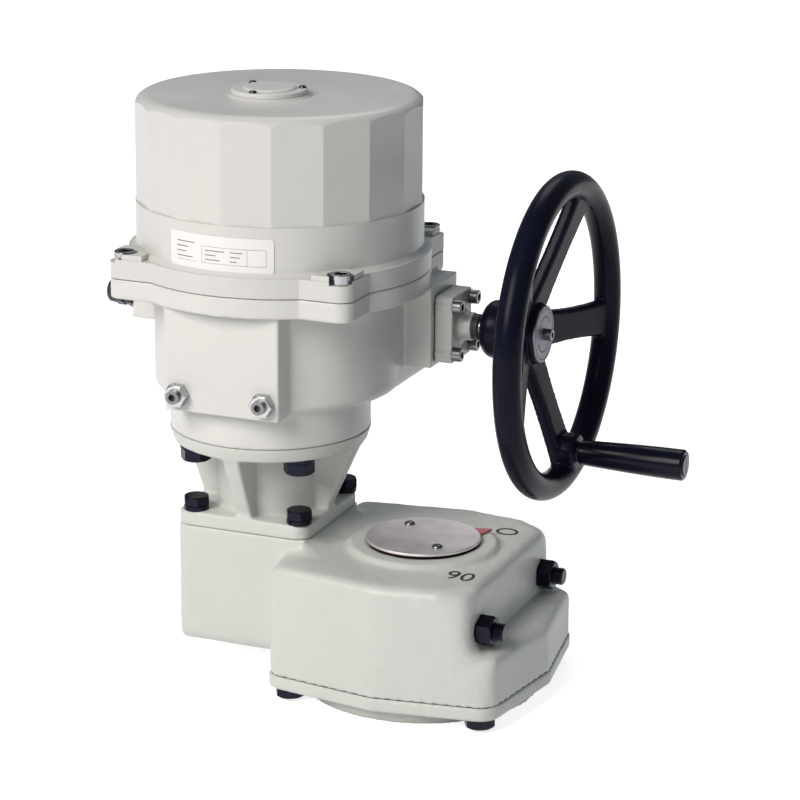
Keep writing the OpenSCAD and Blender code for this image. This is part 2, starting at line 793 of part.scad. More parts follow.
// Split spring washers, each a ring with a narrow cut
module spring_washers() color(black_oxide) at_output() at_corners(bolt_half, bolt_half)
    translate([0, 0, foot_top]) difference() {
        ring(m14_r + 4, m14_r + 0.3, spring_washer_t);
        rotate(250) translate([m14_r + 2, 0, spring_washer_t / 2]) rotate([20, 0, 0])
            cube([8, 1.2, 3 * spring_washer_t], center = true);
    }

module upper_washers() color(black_oxide) at_output() at_corners(bolt_half, bolt_half)
    translate([0, 0, head_z - washer_t]) ring(m16_r + 6, m16_r + 0.4, washer_t);

module upper_bolts() color(black_oxide) at_output() at_corners(bolt_half, bolt_half)
    translate([0, 0, head_z - washer_t]) mirror([0, 0, 1]) rotate(12)
        hex_bolt(m16_r, m16_af, upper_head, head_t + washer_t + 20);

// Actuator base

module flange_outline() {
    circle(r = rim_r, $fn = 128);
    soft_square(ear_half, ear_half, ear_corner);
}

module gland_block() translate([axis_x - rim_r + 2, casing_back - 27, base_top - rim_t - 40])
    cube([60, 54, 41]);

// Upright wall section whose lower outer corner is rounded
module side_profile(reach) {
    side_h = base_h - rim_t + 1;
    square([reach - base_round, side_h]);
    translate([0, base_round]) square([reach, side_h - base_round]);
    translate([reach - base_round, base_round]) circle(r = base_round);
}

module base_outer() {
    at_output() translate([0, 0, neck_z]) cylinder(r = neck_r, h = neck_h + 1, $fn = 96);
    at_casing() {
        translate([0, 0, base_z]) rotate_extrude($fn = 96) side_profile(drum_r);
    }
    at_cover() translate([0, 0, base_top - rim_t]) linear_extrude(rim_t) flange_outline();
    // Squared corner that houses the worm
    translate([axis_x, casing_back, base_z]) {
        translate([0, d_side - d_corner, 0]) rotate([90, 0, 0]) linear_extrude(d_side - d_corner) side_profile(d_side);
        mirror([1, -1, 0]) translate([0, d_side - d_corner, 0]) rotate([90, 0, 0])
            linear_extrude(d_side - d_corner) side_profile(d_side);
        translate([d_side - d_corner, d_side - d_corner, 0]) rotate_extrude() side_profile(d_corner);
    }
    // Stop box at the front
    translate([axis_x - stop_box_half, front_y, base_z])
        cube([2 * stop_box_half, drum_r, base_h - rim_t + 1]);
    // Pad for the shaft cover
    translate([d_right - 10, worm_y - pad_half_y, worm_z + 3 - pad_half_z])
        cube([pad_face - d_right + 10, 2 * pad_half_y, 2 * pad_half_z]);
    gland_block();
}

module base_cavity() {
    at_casing() translate([0, 0, floor_z]) cylinder(r = drum_r - base_wall, h = base_h, $fn = 96);
    translate([axis_x, casing_back, floor_z]) linear_extrude(base_top - rim_t - floor_z + 6)
        square([d_right - axis_x - base_wall, d_back - casing_back - base_wall]);
    translate([axis_x - stop_box_half + box_wall, front_y + 12, floor_z])
        cube([2 * stop_box_half - 2 * box_wall, drum_r, base_top - rim_t - 8 - floor_z]);
}

module base_housing() color(paint) {
    difference() {
        base_outer();
        base_cavity();
        at_output() translate([0, 0, neck_z - 1])
            cylinder(r = out_shaft_r + 10 + out_bearing_t, h = floor_z - neck_z + 2);
        at_output() at_corners(bolt_half, bolt_half)
            translate([0, 0, neck_z - 1]) cylinder(r = m16_r + thread_fit, h = 23);
        for (x = [-stop_half, stop_half]) translate([axis_x + x, front_y - 1, stop_z]) rotate([-90, 0, 0])
            cylinder(r = m12_r + thread_fit, h = 14);
        along_x(d_right - base_wall - 2, worm_y, worm_z) cylinder(r = bearing_r, h = pad_face - d_right + 20);
        for (y = [-13, 13]) along_x(axis_x - rim_r, gland_y + y, gland_z) cylinder(r = 10 + thread_fit, h = 46);
        at_cover() at_corners(ear_screw_half, ear_screw_half)
            translate([0, 0, base_top - rim_t - 1]) cylinder(r = m12_r + thread_fit, h = rim_t + 2);
        shaft_cover_holes(12);
    }
    bearing_post(bearing_left_x);
    bearing_post(bearing_in_x);
    plate_posts();
}

// Pedestals on the floor that hold the worm shaft's bearings
module bearing_post(x) difference() {
    translate([x, worm_y - bearing_r - 4, floor_z]) cube([bearing_w, 2 * bearing_r + 8, worm_z - floor_z + bearing_r + 4]);
    along_x(x - 1, worm_y, worm_z) cylinder(r = bearing_r, h = bearing_w + 2);
}

module plate_posts() for (p = [[-82, -38], [-84, 40], [76, -48]])
    translate([axis_x + p[0], casing_back + p[1], floor_z]) cylinder(r = 6, h = plate_floor - floor_z);

gland_y = casing_back - 5;
gland_z = base_top - rim_t - 19;
module cable_glands() color(rubber_black) for (y = [-13, 13]) along_x(axis_x - rim_r + 14, gland_y + y, gland_z)
    mirror([0, 0, 1]) {
        difference() {
            union() {
                translate([0, 0, 12]) hex(24, 6);
                translate([0, 0, 17]) cylinder(r = 10, h = 13);
                translate([0, 0, -2]) cylinder(r = 10, h = 15);
            }
            translate([0, 0, -3]) cylinder(r = 5.5, h = 38);
        }
    }

module gland_nuts() color(rubber_black) for (y = [-13, 13]) along_x(axis_x - rim_r + 14 - 22.3, gland_y + y, gland_z)
    mirror([0, 0, 1]) difference() {
        union() {
            hex(24, 11);
            translate([0, 0, 10.9]) cylinder(r1 = 12, r2 = 11.2, h = 9.1);
            translate([0, 0, 19.9]) cylinder(r1 = 11.2, r2 = 9.6, h = 2.1);
            translate([0, 0, 21.9]) cylinder(r1 = 9.6, r2 = 6.5, h = 1.8);
        }
        translate([0, 0, -1]) cylinder(r = 10 + thread_fit, h = 10);
    }

// Actuator output

module output_shaft() color(steel) at_output() difference() {
    union() {
        translate([0, 0, neck_z + 2]) cylinder(r = out_shaft_r + 10, h = floor_z - neck_z - 2);
        translate([0, 0, floor_z - 0.1]) cylinder(r = out_shaft_r, h = worm_z + 30 - floor_z);
        translate([0, 0, worm_z + 29]) cylinder(r = 12, h = plate_level + 4 - worm_z - 29);
        translate([0, 0, plate_level]) cylinder(r = 10, h = 46);
        translate([0, 0, plate_level]) cylinder(r = 8, h = 122);
    }
    translate([-drive_half - thread_fit, -drive_half - thread_fit, neck_z - 1])
        cube([2 * drive_half + 2 * thread_fit, 2 * drive_half + 2 * thread_fit, neck_h + 5]);
    translate([out_shaft_r - key_half_h, -wheel_key_w / 2, stop_z - quadrant_t / 2])
        cube([2 * key_half_h, wheel_key_w, output_key_l]);
}

module output_bearings() color(steel) at_output() {
    translate([0, 0, neck_z + 3])
        ring(out_shaft_r + 10 + out_bearing_t, out_shaft_r + 10 + run_gap, floor_z - neck_z - 4);
    translate([0, 0, plate_floor]) ring(19, 12 + run_gap, 8);
}

// Worm wheel with straight flanked teeth set at the lead angle
module worm_wheel() color(bronze) at_output() translate([0, 0, worm_z]) difference() {
    union() {
        cylinder(r = wheel_hub_r, h = wheel_w, center = true);
        cylinder(r = wheel_r - worm_ded, h = wheel_w * 0.8, center = true, $fn = 96);
        for (i = [0:wheel_teeth - 1]) rotate(90 + i * 360 / wheel_teeth)
            translate([wheel_r, 0, 0]) rotate([-lead_angle, 0, 0])
                linear_extrude(wheel_w * 0.8, center = true) polygon([
                    [-worm_ded - 1, -lead * 0.27], [0, -lead * worm_share / 2], [worm_add, -lead * 0.12],
                    [worm_add, lead * 0.12], [0, lead * worm_share / 2], [-worm_ded - 1, lead * 0.27]]);
    }
    translate([0, 0, -wheel_w]) cylinder(r = out_shaft_r + thread_fit, h = 2 * wheel_w);
    translate([0, -wheel_key_w / 2, -wheel_w]) cube([out_shaft_r + key_half_h, wheel_key_w, 2 * wheel_w]);
}

// One key drives both the wheel and the stop quadrant
module output_key() color(steel) at_output()
    translate([out_shaft_r - key_half_h, -wheel_key_w / 2, stop_z - quadrant_t / 2])
        cube([2 * key_half_h, wheel_key_w, output_key_l]);

// Quadrant whose two edges meet the stop screws at the ends of the travel
quadrant_from = -atan(stop_tip / (stop_half + m12_r)) + quadrant_gap;
quadrant_to = 180 - quadrant_from - input_travel;
module stop_quadrant() color(steel) at_output() translate([0, 0, stop_z - quadrant_t / 2]) difference() {
    union() {
        cylinder(r = wheel_hub_r - 2, h = worm_z - wheel_w / 2 - stop_z + quadrant_t / 2);
        linear_extrude(quadrant_t) intersection() {
            circle(r = quadrant_r);
            sector_2d(quadrant_from, quadrant_to, quadrant_r + 5);
        }
    }
    translate([0, 0, -1]) cylinder(r = out_shaft_r + thread_fit, h = worm_z - stop_z);
    translate([0, -wheel_key_w / 2, -1]) cube([out_shaft_r + key_half_h, wheel_key_w, worm_z - stop_z]);
}

module stop_screws() color(steel) for (x = [-stop_half, stop_half])
    translate([axis_x + x, -stop_tip, stop_z]) rotate([90, 0, 0]) difference() {
        cylinder(r = m12_r, h = -front_y - stop_tip + stop_nut_t + stop_screw_out);
        translate([0, 0, -front_y - stop_tip + stop_nut_t + stop_screw_out - 5]) hex(6, 6);
    }

module stop_nuts() color(bright) for (x = [-stop_half, stop_half])
    translate([axis_x + x, front_y, stop_z]) rotate([90, 0, 0]) difference() {
        turned_hex(stop_nut_af, stop_nut_t);
        translate([0, 0, -1]) cylinder(r = m12_r + thread_fit, h = stop_nut_t + 2);
    }

// Worm shaft

// Radius of the thread's section at a share of the turn, with the crest at 0
function thread_radius(t) = let (u = min(t, 1 - t))
    worm_r + worm_add - (worm_add + worm_ded) * max(0, min(1, (u - crest_share) / flank_share));
module worm_thread() {
    steps = 24;
    turns = worm_len / lead;
    linear_extrude(worm_len, center = true, twist = -360 * turns, slices = round(turns * 16), $fn = 24)
        polygon([for (i = [0:steps - 1]) polar(thread_radius(i / steps), 360 * i / steps)]);
}

module worm_shaft() color(steel) {
    along_x(axis_x, worm_y, worm_z) rotate(worm_phase) worm_thread();
    along_x(bearing_left_x - 2, worm_y, worm_z) cylinder(r = shaft_r, h = pad_face + 1 - bearing_left_x);
    along_x(pad_face - 1.1, worm_y, worm_z) difference() {
        cylinder(r = shaft_end_r, h = hub_face - pad_face - 1);
        translate([0, 0, hub_face - pad_face - 19]) cylinder(r = 3 + thread_fit, h = 30);
        translate([-shaft_end_r - 2, -3, hub_in - pad_face + 7]) cube([4, 6, 40]);
    }
}
// Leaves a groove facing the wheel at the middle of the worm
worm_phase = 90 - 180 * worm_len / lead;

module worm_bearings() color(steel) {
    for (x = [bearing_left_x, bearing_in_x])
        along_x(x, worm_y, worm_z) ring(bearing_r, shaft_r + run_gap, bearing_w);
    along_x(pad_face - bearing_w - 1, worm_y, worm_z) ring(bearing_r, shaft_r + run_gap, bearing_w);
}

side_hole_y = side_half_y - 4;
side_hole_z = side_half_z - 8.5;
module shaft_cover_holes(depth) for (y = [-side_hole_y, side_hole_y], z = [-side_hole_z, side_hole_z])
    along_x(pad_face - depth, worm_y + y, worm_z + z) cylinder(r = 4 + thread_fit, h = depth + 1);

module shaft_cover_gasket() color(rubber_black) along_x(pad_face, worm_y, worm_z) linear_extrude(side_gasket_t)
    difference() {
        soft_square(side_half_z - 0.5, side_half_y - 0.5, 3);
        circle(r = bearing_r - 2);
        at_corners(side_hole_z, side_hole_y) circle(r = 4.6);
    }

module shaft_cover() color(paint) along_x(pad_face + side_gasket_t, worm_y, worm_z) difference() {
    union() {
        linear_extrude(side_t) soft_square(side_half_z, side_half_y, 3);
        cylinder(r = side_boss_r, h = side_t + side_boss_l);
        translate([0, 0, side_t - 0.1]) cylinder(r1 = side_boss_r + 5, r2 = side_boss_r + 1.6, h = 2.1);
        translate([0, 0, side_t + 1.9]) cylinder(r1 = side_boss_r + 1.6, r2 = side_boss_r - 0.1, h = 4);
    }
    translate([0, 0, -1]) cylinder(r = shaft_end_r + 0.4, h = side_t + side_boss_l + 2);
    translate([0, 0, side_t + side_boss_l - 8]) cylinder(r = side_boss_r - 2, h = 10);
    at_corners(side_hole_z, side_hole_y) translate([0, 0, -1]) cylinder(r = 4.4, h = side_t + 2);
}

module shaft_cover_screws() color(black_oxide)
    for (y = [-side_hole_y, side_hole_y], z = [-side_hole_z, side_hole_z])
        along_x(side_face, worm_y + y, worm_z + z) socket_screw(4, 6.3, 8, side_t + side_gasket_t + 10, 6);

module shaft_seal() color(rubber_black) along_x(side_boss_end - 8, worm_y, worm_z) difference() {
    union() {
        cylinder(r = side_boss_r - 2, h = 8.1);
        translate([0, 0, 8]) cylinder(r = side_boss_r - 1, h = 5.5);
    }
    translate([0, 0, -1]) cylinder(r = shaft_end_r + run_gap, h = 16);
}

// Handwheel

// Waisted flat spoke in the plane of its own slope, pointing along +X
module spoke_2d(inner, outer) difference() {
    translate([inner, -spoke_w]) square([outer - inner, 2 * spoke_w]);
    for (s = [-1, 1]) translate([(inner + outer) / 2, s * (spoke_w / 2 + waist_r)]) circle(r = waist_r, $fn = 256);
}

module spoke() {
    reach = rim_circle;
    start = hub_r - 6;
    tilt = atan(spoke_slope);
    translate([reach, 0, 0]) rotate([0, -tilt, 0]) translate([-reach / cos(tilt), 0, -spoke_t / 2])
        linear_extrude(spoke_t) spoke_2d(start / cos(tilt), reach / cos(tilt));
}

module handwheel() color(gloss_black) difference() {
    union() {
        along_x(rim_x, worm_y, worm_z) {
            rotate_extrude($fn = 96) translate([rim_circle, 0]) circle(r = rim_section_r, $fn = 32);
            for (i = [0:spokes - 1]) rotate(90 + spoke_start + 360 / spokes * i) spoke();
        }
        along_x(hub_in + hub_round, worm_y, worm_z) cylinder(r = hub_r, h = hub_len - hub_round);
        along_x(hub_in, worm_y, worm_z) rotate_extrude() {
            square([hub_r - hub_round, hub_round + 1]);
            intersection() {
                translate([hub_r - hub_round, hub_round]) circle(r = hub_round);
                square([hub_r, hub_round + 1]);
            }
        }
        along_x(handle_seat - 16, handle_y, handle_z) cylinder(r = handle_boss_r, h = 16);
    }
    along_x(hub_in - 1, worm_y, worm_z) cylinder(r = shaft_end_r + thread_fit, h = hub_len + 2);
    along_x(hub_in + 6, worm_y, worm_z) translate([-shaft_end_r - 2.5, -3, -1]) cube([5, 6, hub_len]);
    along_x(handle_seat - 20, handle_y, handle_z) cylinder(r = spindle_r + thread_fit, h = 24);
}

module hub_key() color(steel) along_x(hub_in + 6, worm_y, worm_z)
    translate([-shaft_end_r - 2, -3, 0]) cube([4, 6, 38]);

module hub_disc() color("#b9bcbf") along_x(hub_face, worm_y, worm_z) difference() {
    union() {
        cylinder(r = hub_r - 0.2, h = 1.2);
        translate([0, 0, 1.1]) cylinder(r1 = hub_r - 0.2, r2 = hub_r - 0.8, h = 0.7);
    }
    translate([0, 0, -1]) cylinder(r = 3.2, h = 4);
}

module hub_screw() color(steel) along_x(hub_face + 1.8, worm_y, worm_z)
    socket_screw(3, 5.2, hub_screw_head, 18, 5);

module handle_spindle() color(black_oxide) along_x(handle_seat, handle_y, handle_z) difference() {
    union() {
        translate([0, 0, -14]) cylinder(r = spindle_r, h = grip_len + 12);
        translate([0, 0, 0]) cylinder(r = 9, h = 2);
        translate([0, 0, grip_len - 3]) cylinder(r = 9, h = 4);
    }
    translate([0, 0, grip_len + 1]) cube([14, 1.6, 2.4], center = true);
}

// Revolving grip, swelling to its outer end
module handle_grip() color(gloss_black) along_x(handle_seat + 2.3, handle_y, handle_z) difference() {
    rotate_extrude() polygon(concat([[0, 0], [grip_in_r - 1, 0]],
        [for (i = [0:8]) let (t = i / 8) [grip_in_r + (grip_r - grip_in_r) * sin(90 * t) , 1 + t * (grip_len - 5)]],
        [[grip_r - 1.4, grip_len - 2.3], [0, grip_len - 2.3]]));
    translate([0, 0, -1]) cylinder(r = spindle_r + run_gap, h = grip_len + 2);
    translate([0, 0, grip_len - 5.6]) cylinder(r = 9.3, h = 6);
}

// Motor gear train

module train_gear(teeth, phase, bore) difference() {
    linear_extrude(train_w, center = true)
        spur_outline(train_m, teeth, 0.45, 0, teeth - 1, phase);
    if (bore > 0) cylinder(r = bore, h = 2 * train_w, center = true);
}

module in_train(y, z) translate([train_x, y, z]) rotate([90, 0, 90]) children();

module shaft_gear() color(steel) in_train(worm_y, worm_z) train_gear(gear_a_teeth, 0, shaft_r + thread_fit);

module idler_gear() color(steel) in_train(idler_y, idler_z) train_gear(gear_b_teeth, phase_b, idler_pin_r + run_gap);

module idler_pin() color(steel) along_x(train_plate_x, idler_y, idler_z)
    cylinder(r = idler_pin_r, h = train_x + train_w / 2 + 3 - train_plate_x);

module motor_shaft() color(steel) {
    in_train(motor_y, motor_z) train_gear(gear_c_teeth, phase_c, 0);
    along_x(train_plate_x - 16, motor_y, motor_z) cylinder(r = 5, h = train_x + train_w / 2 + 16 - train_plate_x);
}

module motor() color("#5c6066") along_x(train_plate_x - motor_len, motor_y, motor_z) difference() {
    union() {
        cylinder(r = motor_r, h = motor_len - 6);
        translate([0, 0, motor_len - 6]) cylinder(r = motor_r - 3, h = 6);
        for (a = [0:30:330]) rotate(a) translate([motor_r - 1, -1, 10]) cube([3, 2, motor_len - 30]);
    }
    translate([0, 0, motor_len - 18]) cylinder(r = 5 + run_gap, h = 20);
}

module train_plate() color(steel) difference() {
    translate([train_plate_x, motor_y - 34, plate_level]) cube([train_plate_t, 76, motor_z + 30 - plate_level]);
    along_x(train_plate_x - 1, motor_y, motor_z) cylinder(r = 7, h = 8);
    along_x(train_plate_x - 1, idler_y, idler_z) cylinder(r = idler_pin_r + thread_fit, h = 8);
}

module gear_plate() color(steel) difference() {
    at_casing() translate([0, 0, plate_floor]) cylinder(r = drum_r - base_wall - 2, h = plate_level - plate_floor, $fn = 96);
    at_output() translate([0, 0, plate_floor - 1]) cylinder(r = 19, h = 10);
    translate([train_x - train_w / 2 - 4, idler_y - gear_b_r - 6, plate_floor - 1])
        cube([train_w + 8, 2 * gear_b_r + 12, 10]);
}

module cam_stack() color("#d8d4c4") at_output() for (i = [0:3])
    translate([0, 0, plate_level + 46 + 12 * i]) rotate(40 * i) difference() {
        union() {
            ring(20, 8 + thread_fit, 7);
            translate([0, 0, 6.9]) ring(12, 8 + thread_fit, 4.9);
        }
        translate([18, -5, -1]) cube([6, 10, 9]);
    }

module limit_switches() color("#2b2f36") {
    for (i = [0:3]) translate([axis_x - 14, -44, plate_level + 44 + 12 * i]) {
        cube([28, 16, 10]);
        translate([10, 15.9, 3]) cube([4, 7.6, 4]);
    }
    translate([axis_x - 18, -50, plate_level]) cube([36, 6.1, 100]);
}

module terminal_block() color("#3f7a52") translate([axis_x - 38, -72, plate_level]) difference() {
    cube([76, 20, 22]);
    for (i = [0:7]) translate([5 + 9.4 * i, 3, 12]) cube([7, 6, 12]);
}

// Cover

module cover_gasket() color(rubber_black) at_cover() translate([0, 0, base_top])
    ring(rim_r - 3, rim_r - 3 - gasket_w, cover_gasket_t);

module cover_profile() polygon(concat(
    [[0, rim_top - 1], [cover_r + 1, rim_top - 1], [cover_r + 1, shoulder_z]],
    [for (a = [15:15:90]) [top_flat_r + (cover_r + 1 - top_flat_r) * cos(a), shoulder_z + shoulder_h * sin(a)]],
    [[0, top_z]]));

// Raised pads on the ears, with a pocket that opens outward for each screw
module ear_pads() translate([0, 0, rim_top - 0.1]) linear_extrude(ear_pad_h + 0.1) intersection() {
    soft_square(ear_half - 1.2, ear_half - 1.2, ear_corner - 1.2);
    for (x = [-1, 1], y = [-1, 1]) translate([x * ear_screw_half, y * ear_screw_half])
        square([2 * ear_pad_half, 2 * ear_pad_half], center = true);
}
module ear_pockets() for (a = [45:90:315]) rotate(a)
    translate([ear_screw_half * sqrt(2), 0, rim_top - ear_seat_drop]) {
        cylinder(r = ear_pocket_r, h = 2 * ear_pad_h);
        rotate(ear_slot_turn) translate([0, -ear_slot_half, 0])
            cube([3 * ear_pocket_r, 2 * ear_slot_half, 2 * ear_pad_h]);
    }

module cover() color(paint) {
    difference() {
        at_cover() union() {
            translate([0, 0, cover_z]) linear_extrude(rim_t) flange_outline();
            ear_pads();
        }
        at_cover() ear_pockets();
        at_cover() translate([0, 0, cover_z - 1]) cylinder(r = cover_r - cover_wall, h = rim_t + ear_pad_h + 2, $fn = 128);
        at_cover() at_corners(ear_screw_half, ear_screw_half)
            translate([0, 0, cover_z - 1]) cylinder(r = m12_r + 0.5, h = rim_t + 2);
    }
    cover_shell();
}

module cover_shell() difference() {
    at_cover() union() {
        translate([0, 0, cover_z]) cylinder(r = cover_r, h = rim_t + band_h, $fn = 128);
        translate([0, 0, rim_top - 0.1]) cylinder(r1 = cover_r + band_fillet, r2 = cover_r, h = band_fillet + 0.1, $fn = 128);
        intersection() {
            rotate_extrude($fn = 128) cover_profile();
            translate([0, 0, facet_z - 0.1]) rotate(90 + facet_turn) linear_extrude(facet_h + shoulder_h + 1)
                polygon([for (i = [0:facets - 1]) polar(cover_r - 0.4, i * 360 / facets)]);
        }
        translate([-cover_shift, -casing_back, top_z - 0.1])
            cylinder(r1 = window_r + 4, r2 = window_r + 1.2, h = window_foot_h + 0.1);
    }
    at_cover() translate([0, 0, cover_z - 1])
        cylinder(r = cover_r - cover_wall - 2, h = top_z - cover_wall - cover_z + 1, $fn = 96);
    at_output() translate([0, 0, top_z - 2 * cover_wall]) cylinder(r = window_cap_r - 5, h = 3 * cover_wall);
    at_output() translate([0, 0, top_z - 4]) for (a = [25:120:265])
        rotate(a) translate([(window_r + window_cap_r) / 2, 0, 0]) cylinder(r = 2 + thread_fit, h = 8);
}

module cover_screws() color(bright) at_cover() at_corners(ear_screw_half, ear_screw_half)
    translate([0, 0, rim_top - ear_seat_drop]) socket_screw(m12_r, 9, ear_head_h, rim_t + 12, 10);

module at_window() at_output() translate([0, 0, top_z + window_foot_h]) children();

module window_ring() color(paint) at_window() difference() {
    union() {
        cylinder(r = window_r, h = window_h - 0.8);
        translate([0, 0, window_h - 0.8]) cylinder(r1 = window_r, r2 = window_r - 0.8, h = 0.8);
    }
    translate([0, 0, -1]) cylinder(r = window_cap_r + 0.1, h = window_h + 2);
    for (a = [25:120:265]) rotate(a) translate([(window_r + window_cap_r) / 2, 0, -1]) cylinder(r = 2.1, h = 8);
}

module window_cap() color(paint) at_window() {
    cylinder(r = window_cap_r, h = window_h + 0.6);
    translate([0, 0, window_h + 0.5]) cylinder(r1 = window_cap_r, r2 = window_cap_r - 2, h = 1.2);
}

module window_screws() color(steel) at_window() for (a = [25:120:265])
    rotate(a) translate([(window_r + window_cap_r) / 2, 0, window_h]) {
        cylinder(r1 = 3.6, r2 = 2.6, h = 1.8);
        translate([0, 0, -window_h - 5]) cylinder(r = 2, h = window_h + 5.1);
    }

// Bare label on the cover's band
module label_plate() color("white") at_cover() intersection() {
    translate([0, 0, rim_top + label_lift]) ring(cover_r + 0.6, cover_r + 0.01, label_h);
    rotate(-90) translate([0, -label_half, rim_top]) cube([2 * cover_r, 2 * label_half, band_h]);
}

bottom_plate();
case_gasket();
gear_case();
plate_bolts();
drive_sleeve();
sleeve_bushes();
sleeve_seals();
toothed_sector();
sector_key();
case_stop_screws();
case_stop_nuts();
pointer();
indicator_disc();
disc_screws();
pinion_shaft();
pinion_bearings();
bracket();
lower_bolts();
spring_washers();
upper_bolts();
upper_washers();
base_housing();
output_shaft();
output_bearings();
worm_wheel();
output_key();
stop_quadrant();
stop_screws();
stop_nuts();
cable_glands();
gland_nuts();
worm_shaft();
worm_bearings();
shaft_cover();
shaft_cover_gasket();
shaft_cover_screws();
shaft_seal();
handwheel();
hub_disc();
hub_screw();
hub_key();
handle_spindle();
handle_grip();
shaft_gear();
idler_gear();
idler_pin();
motor_shaft();
motor();
train_plate();
gear_plate();
cam_stack();
limit_switches();
terminal_block();
cover_gasket();
cover();
cover_screws();
window_ring();
window_cap();
window_screws();
label_plate();
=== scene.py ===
# Studio view of an electric valve actuator on its spur reduction gearbox
import json
import math
import bpy
import bmesh
import numpy as np
from mathutils import Matrix, Vector
from mathutils.bvhtree import BVHTree


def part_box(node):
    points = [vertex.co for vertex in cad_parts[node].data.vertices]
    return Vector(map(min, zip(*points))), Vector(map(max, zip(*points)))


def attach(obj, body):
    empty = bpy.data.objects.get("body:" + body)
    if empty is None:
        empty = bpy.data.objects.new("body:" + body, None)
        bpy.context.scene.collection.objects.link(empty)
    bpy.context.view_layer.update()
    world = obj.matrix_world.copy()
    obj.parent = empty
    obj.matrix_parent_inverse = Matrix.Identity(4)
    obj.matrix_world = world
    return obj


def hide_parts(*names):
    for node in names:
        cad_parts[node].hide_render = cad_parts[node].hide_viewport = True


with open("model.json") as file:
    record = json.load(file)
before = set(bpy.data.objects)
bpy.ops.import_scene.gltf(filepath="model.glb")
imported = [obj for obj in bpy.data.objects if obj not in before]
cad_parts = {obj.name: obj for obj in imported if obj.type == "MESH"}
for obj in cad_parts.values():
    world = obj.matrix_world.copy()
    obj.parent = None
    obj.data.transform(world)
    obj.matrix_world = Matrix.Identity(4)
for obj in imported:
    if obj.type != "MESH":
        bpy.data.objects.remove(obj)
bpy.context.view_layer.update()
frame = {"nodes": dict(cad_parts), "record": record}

nodes = frame["nodes"]
slots = {s["node"]: s["material_slot"] for s in frame["record"]["subparts"]}

# Millimetre in metres
MM = 0.001


# Materials
class Tree:
    """A material's nodes, with short calls for the few kinds that the finishes use."""

    def __init__(self, name):
        self.mat = bpy.data.materials.new(name)
        self.mat.use_nodes = True
        self.tree = self.mat.node_tree
        self.tree.nodes.clear()
        self.out = self.add("OutputMaterial")
        self.shader = self.add("BsdfPrincipled")
        self.link(self.shader.outputs[0], self.out.inputs[0])
        self.coords = self.add("TexCoord").outputs["Object"]

    def add(self, kind):
        return self.tree.nodes.new("ShaderNode" + kind)

    def link(self, a, b):
        self.tree.links.new(a, b)

    def noise(self, size, detail, rough, stretch=None):
        """Noise whose lumps are about size across, drawn out along a direction by stretch."""
        n = self.add("TexNoise")
        n.inputs["Scale"].default_value = 1.0 / size
        n.inputs["Detail"].default_value = detail
        n.inputs["Roughness"].default_value = rough
        source = self.coords
        if stretch:
            m = self.add("Mapping")
            m.inputs["Scale"].default_value = stretch
            self.link(self.coords, m.inputs["Vector"])
            source = m.outputs[0]
        self.link(source, n.inputs["Vector"])
        return n.outputs["Fac"]

    def ramp(self, fac, stops):
        """Colours (place, colour) that follow fac."""
        r = self.add("ValToRGB")
        e = r.color_ramp.elements
        while len(e) < len(stops):
            e.new(0.5)
        for item, (at, colour) in zip(e, stops):
            item.position = at
            item.color = (*colour, 1.0)
        self.link(fac, r.inputs[0])
        return r.outputs[0]

    def remap(self, fac, low, high, a=0.3, b=0.7):
        """From low where fac is a to high where it is b."""
        m = self.add("MapRange")
        m.inputs["From Min"].default_value = a
        m.inputs["From Max"].default_value = b
        m.inputs["To Min"].default_value = low
        m.inputs["To Max"].default_value = high
        self.link(fac, m.inputs["Value"])
        return m.outputs[0]

    def math(self, kind, a, b):
        m = self.add("Math")
        m.operation = kind
        self.link(a, m.inputs[0])
        self.link(b, m.inputs[1])
        return m.outputs[0]

    def mix(self, fac, base, colour):
        """The base, turned towards one colour where fac is high."""
        m = self.add("Mix")
        m.data_type = "RGBA"
        self.link(fac, m.inputs[0])
        self.link(base, m.inputs[6])
        m.inputs[7].default_value = (*colour, 1.0)
        return m.outputs[2]

    def occlusion(self, distance):
        a = self.add("AmbientOcclusion")
        a.samples = 6
        a.inputs["Distance"].default_value = distance
        return a.outputs["AO"]

    def bevel(self, radius):
        b = self.add("Bevel")
        b.samples = 6
        b.inputs["Radius"].default_value = radius
        return b.outputs[0]

    def bump(self, height, depth, normal):
        b = self.add("Bump")
        b.inputs["Distance"].default_value = depth
        self.link(height, b.inputs["Height"])
        self.link(normal, b.inputs["Normal"])
        return b.outputs[0]

    def set(self, **values):
        """Numbers go on the shader's sockets, and anything else is linked to them."""
        names = {"colour": "Base Color", "rough": "Roughness", "metal": "Metallic", "normal": "Normal",
                 "coat": "Coat Weight", "coat_rough": "Coat Roughness", "specular": "Specular IOR Level"}
        for key, value in values.items():
            socket = self.shader.inputs[names[key]]
            if isinstance(value, float):
                socket.default_value = value
            else:
                self.link(value, socket)
        return self.mat


def shade(colour, k):
    """The colour, k times as bright."""
    return tuple(max(0.0, min(1.0, c * k)) for c in colour)


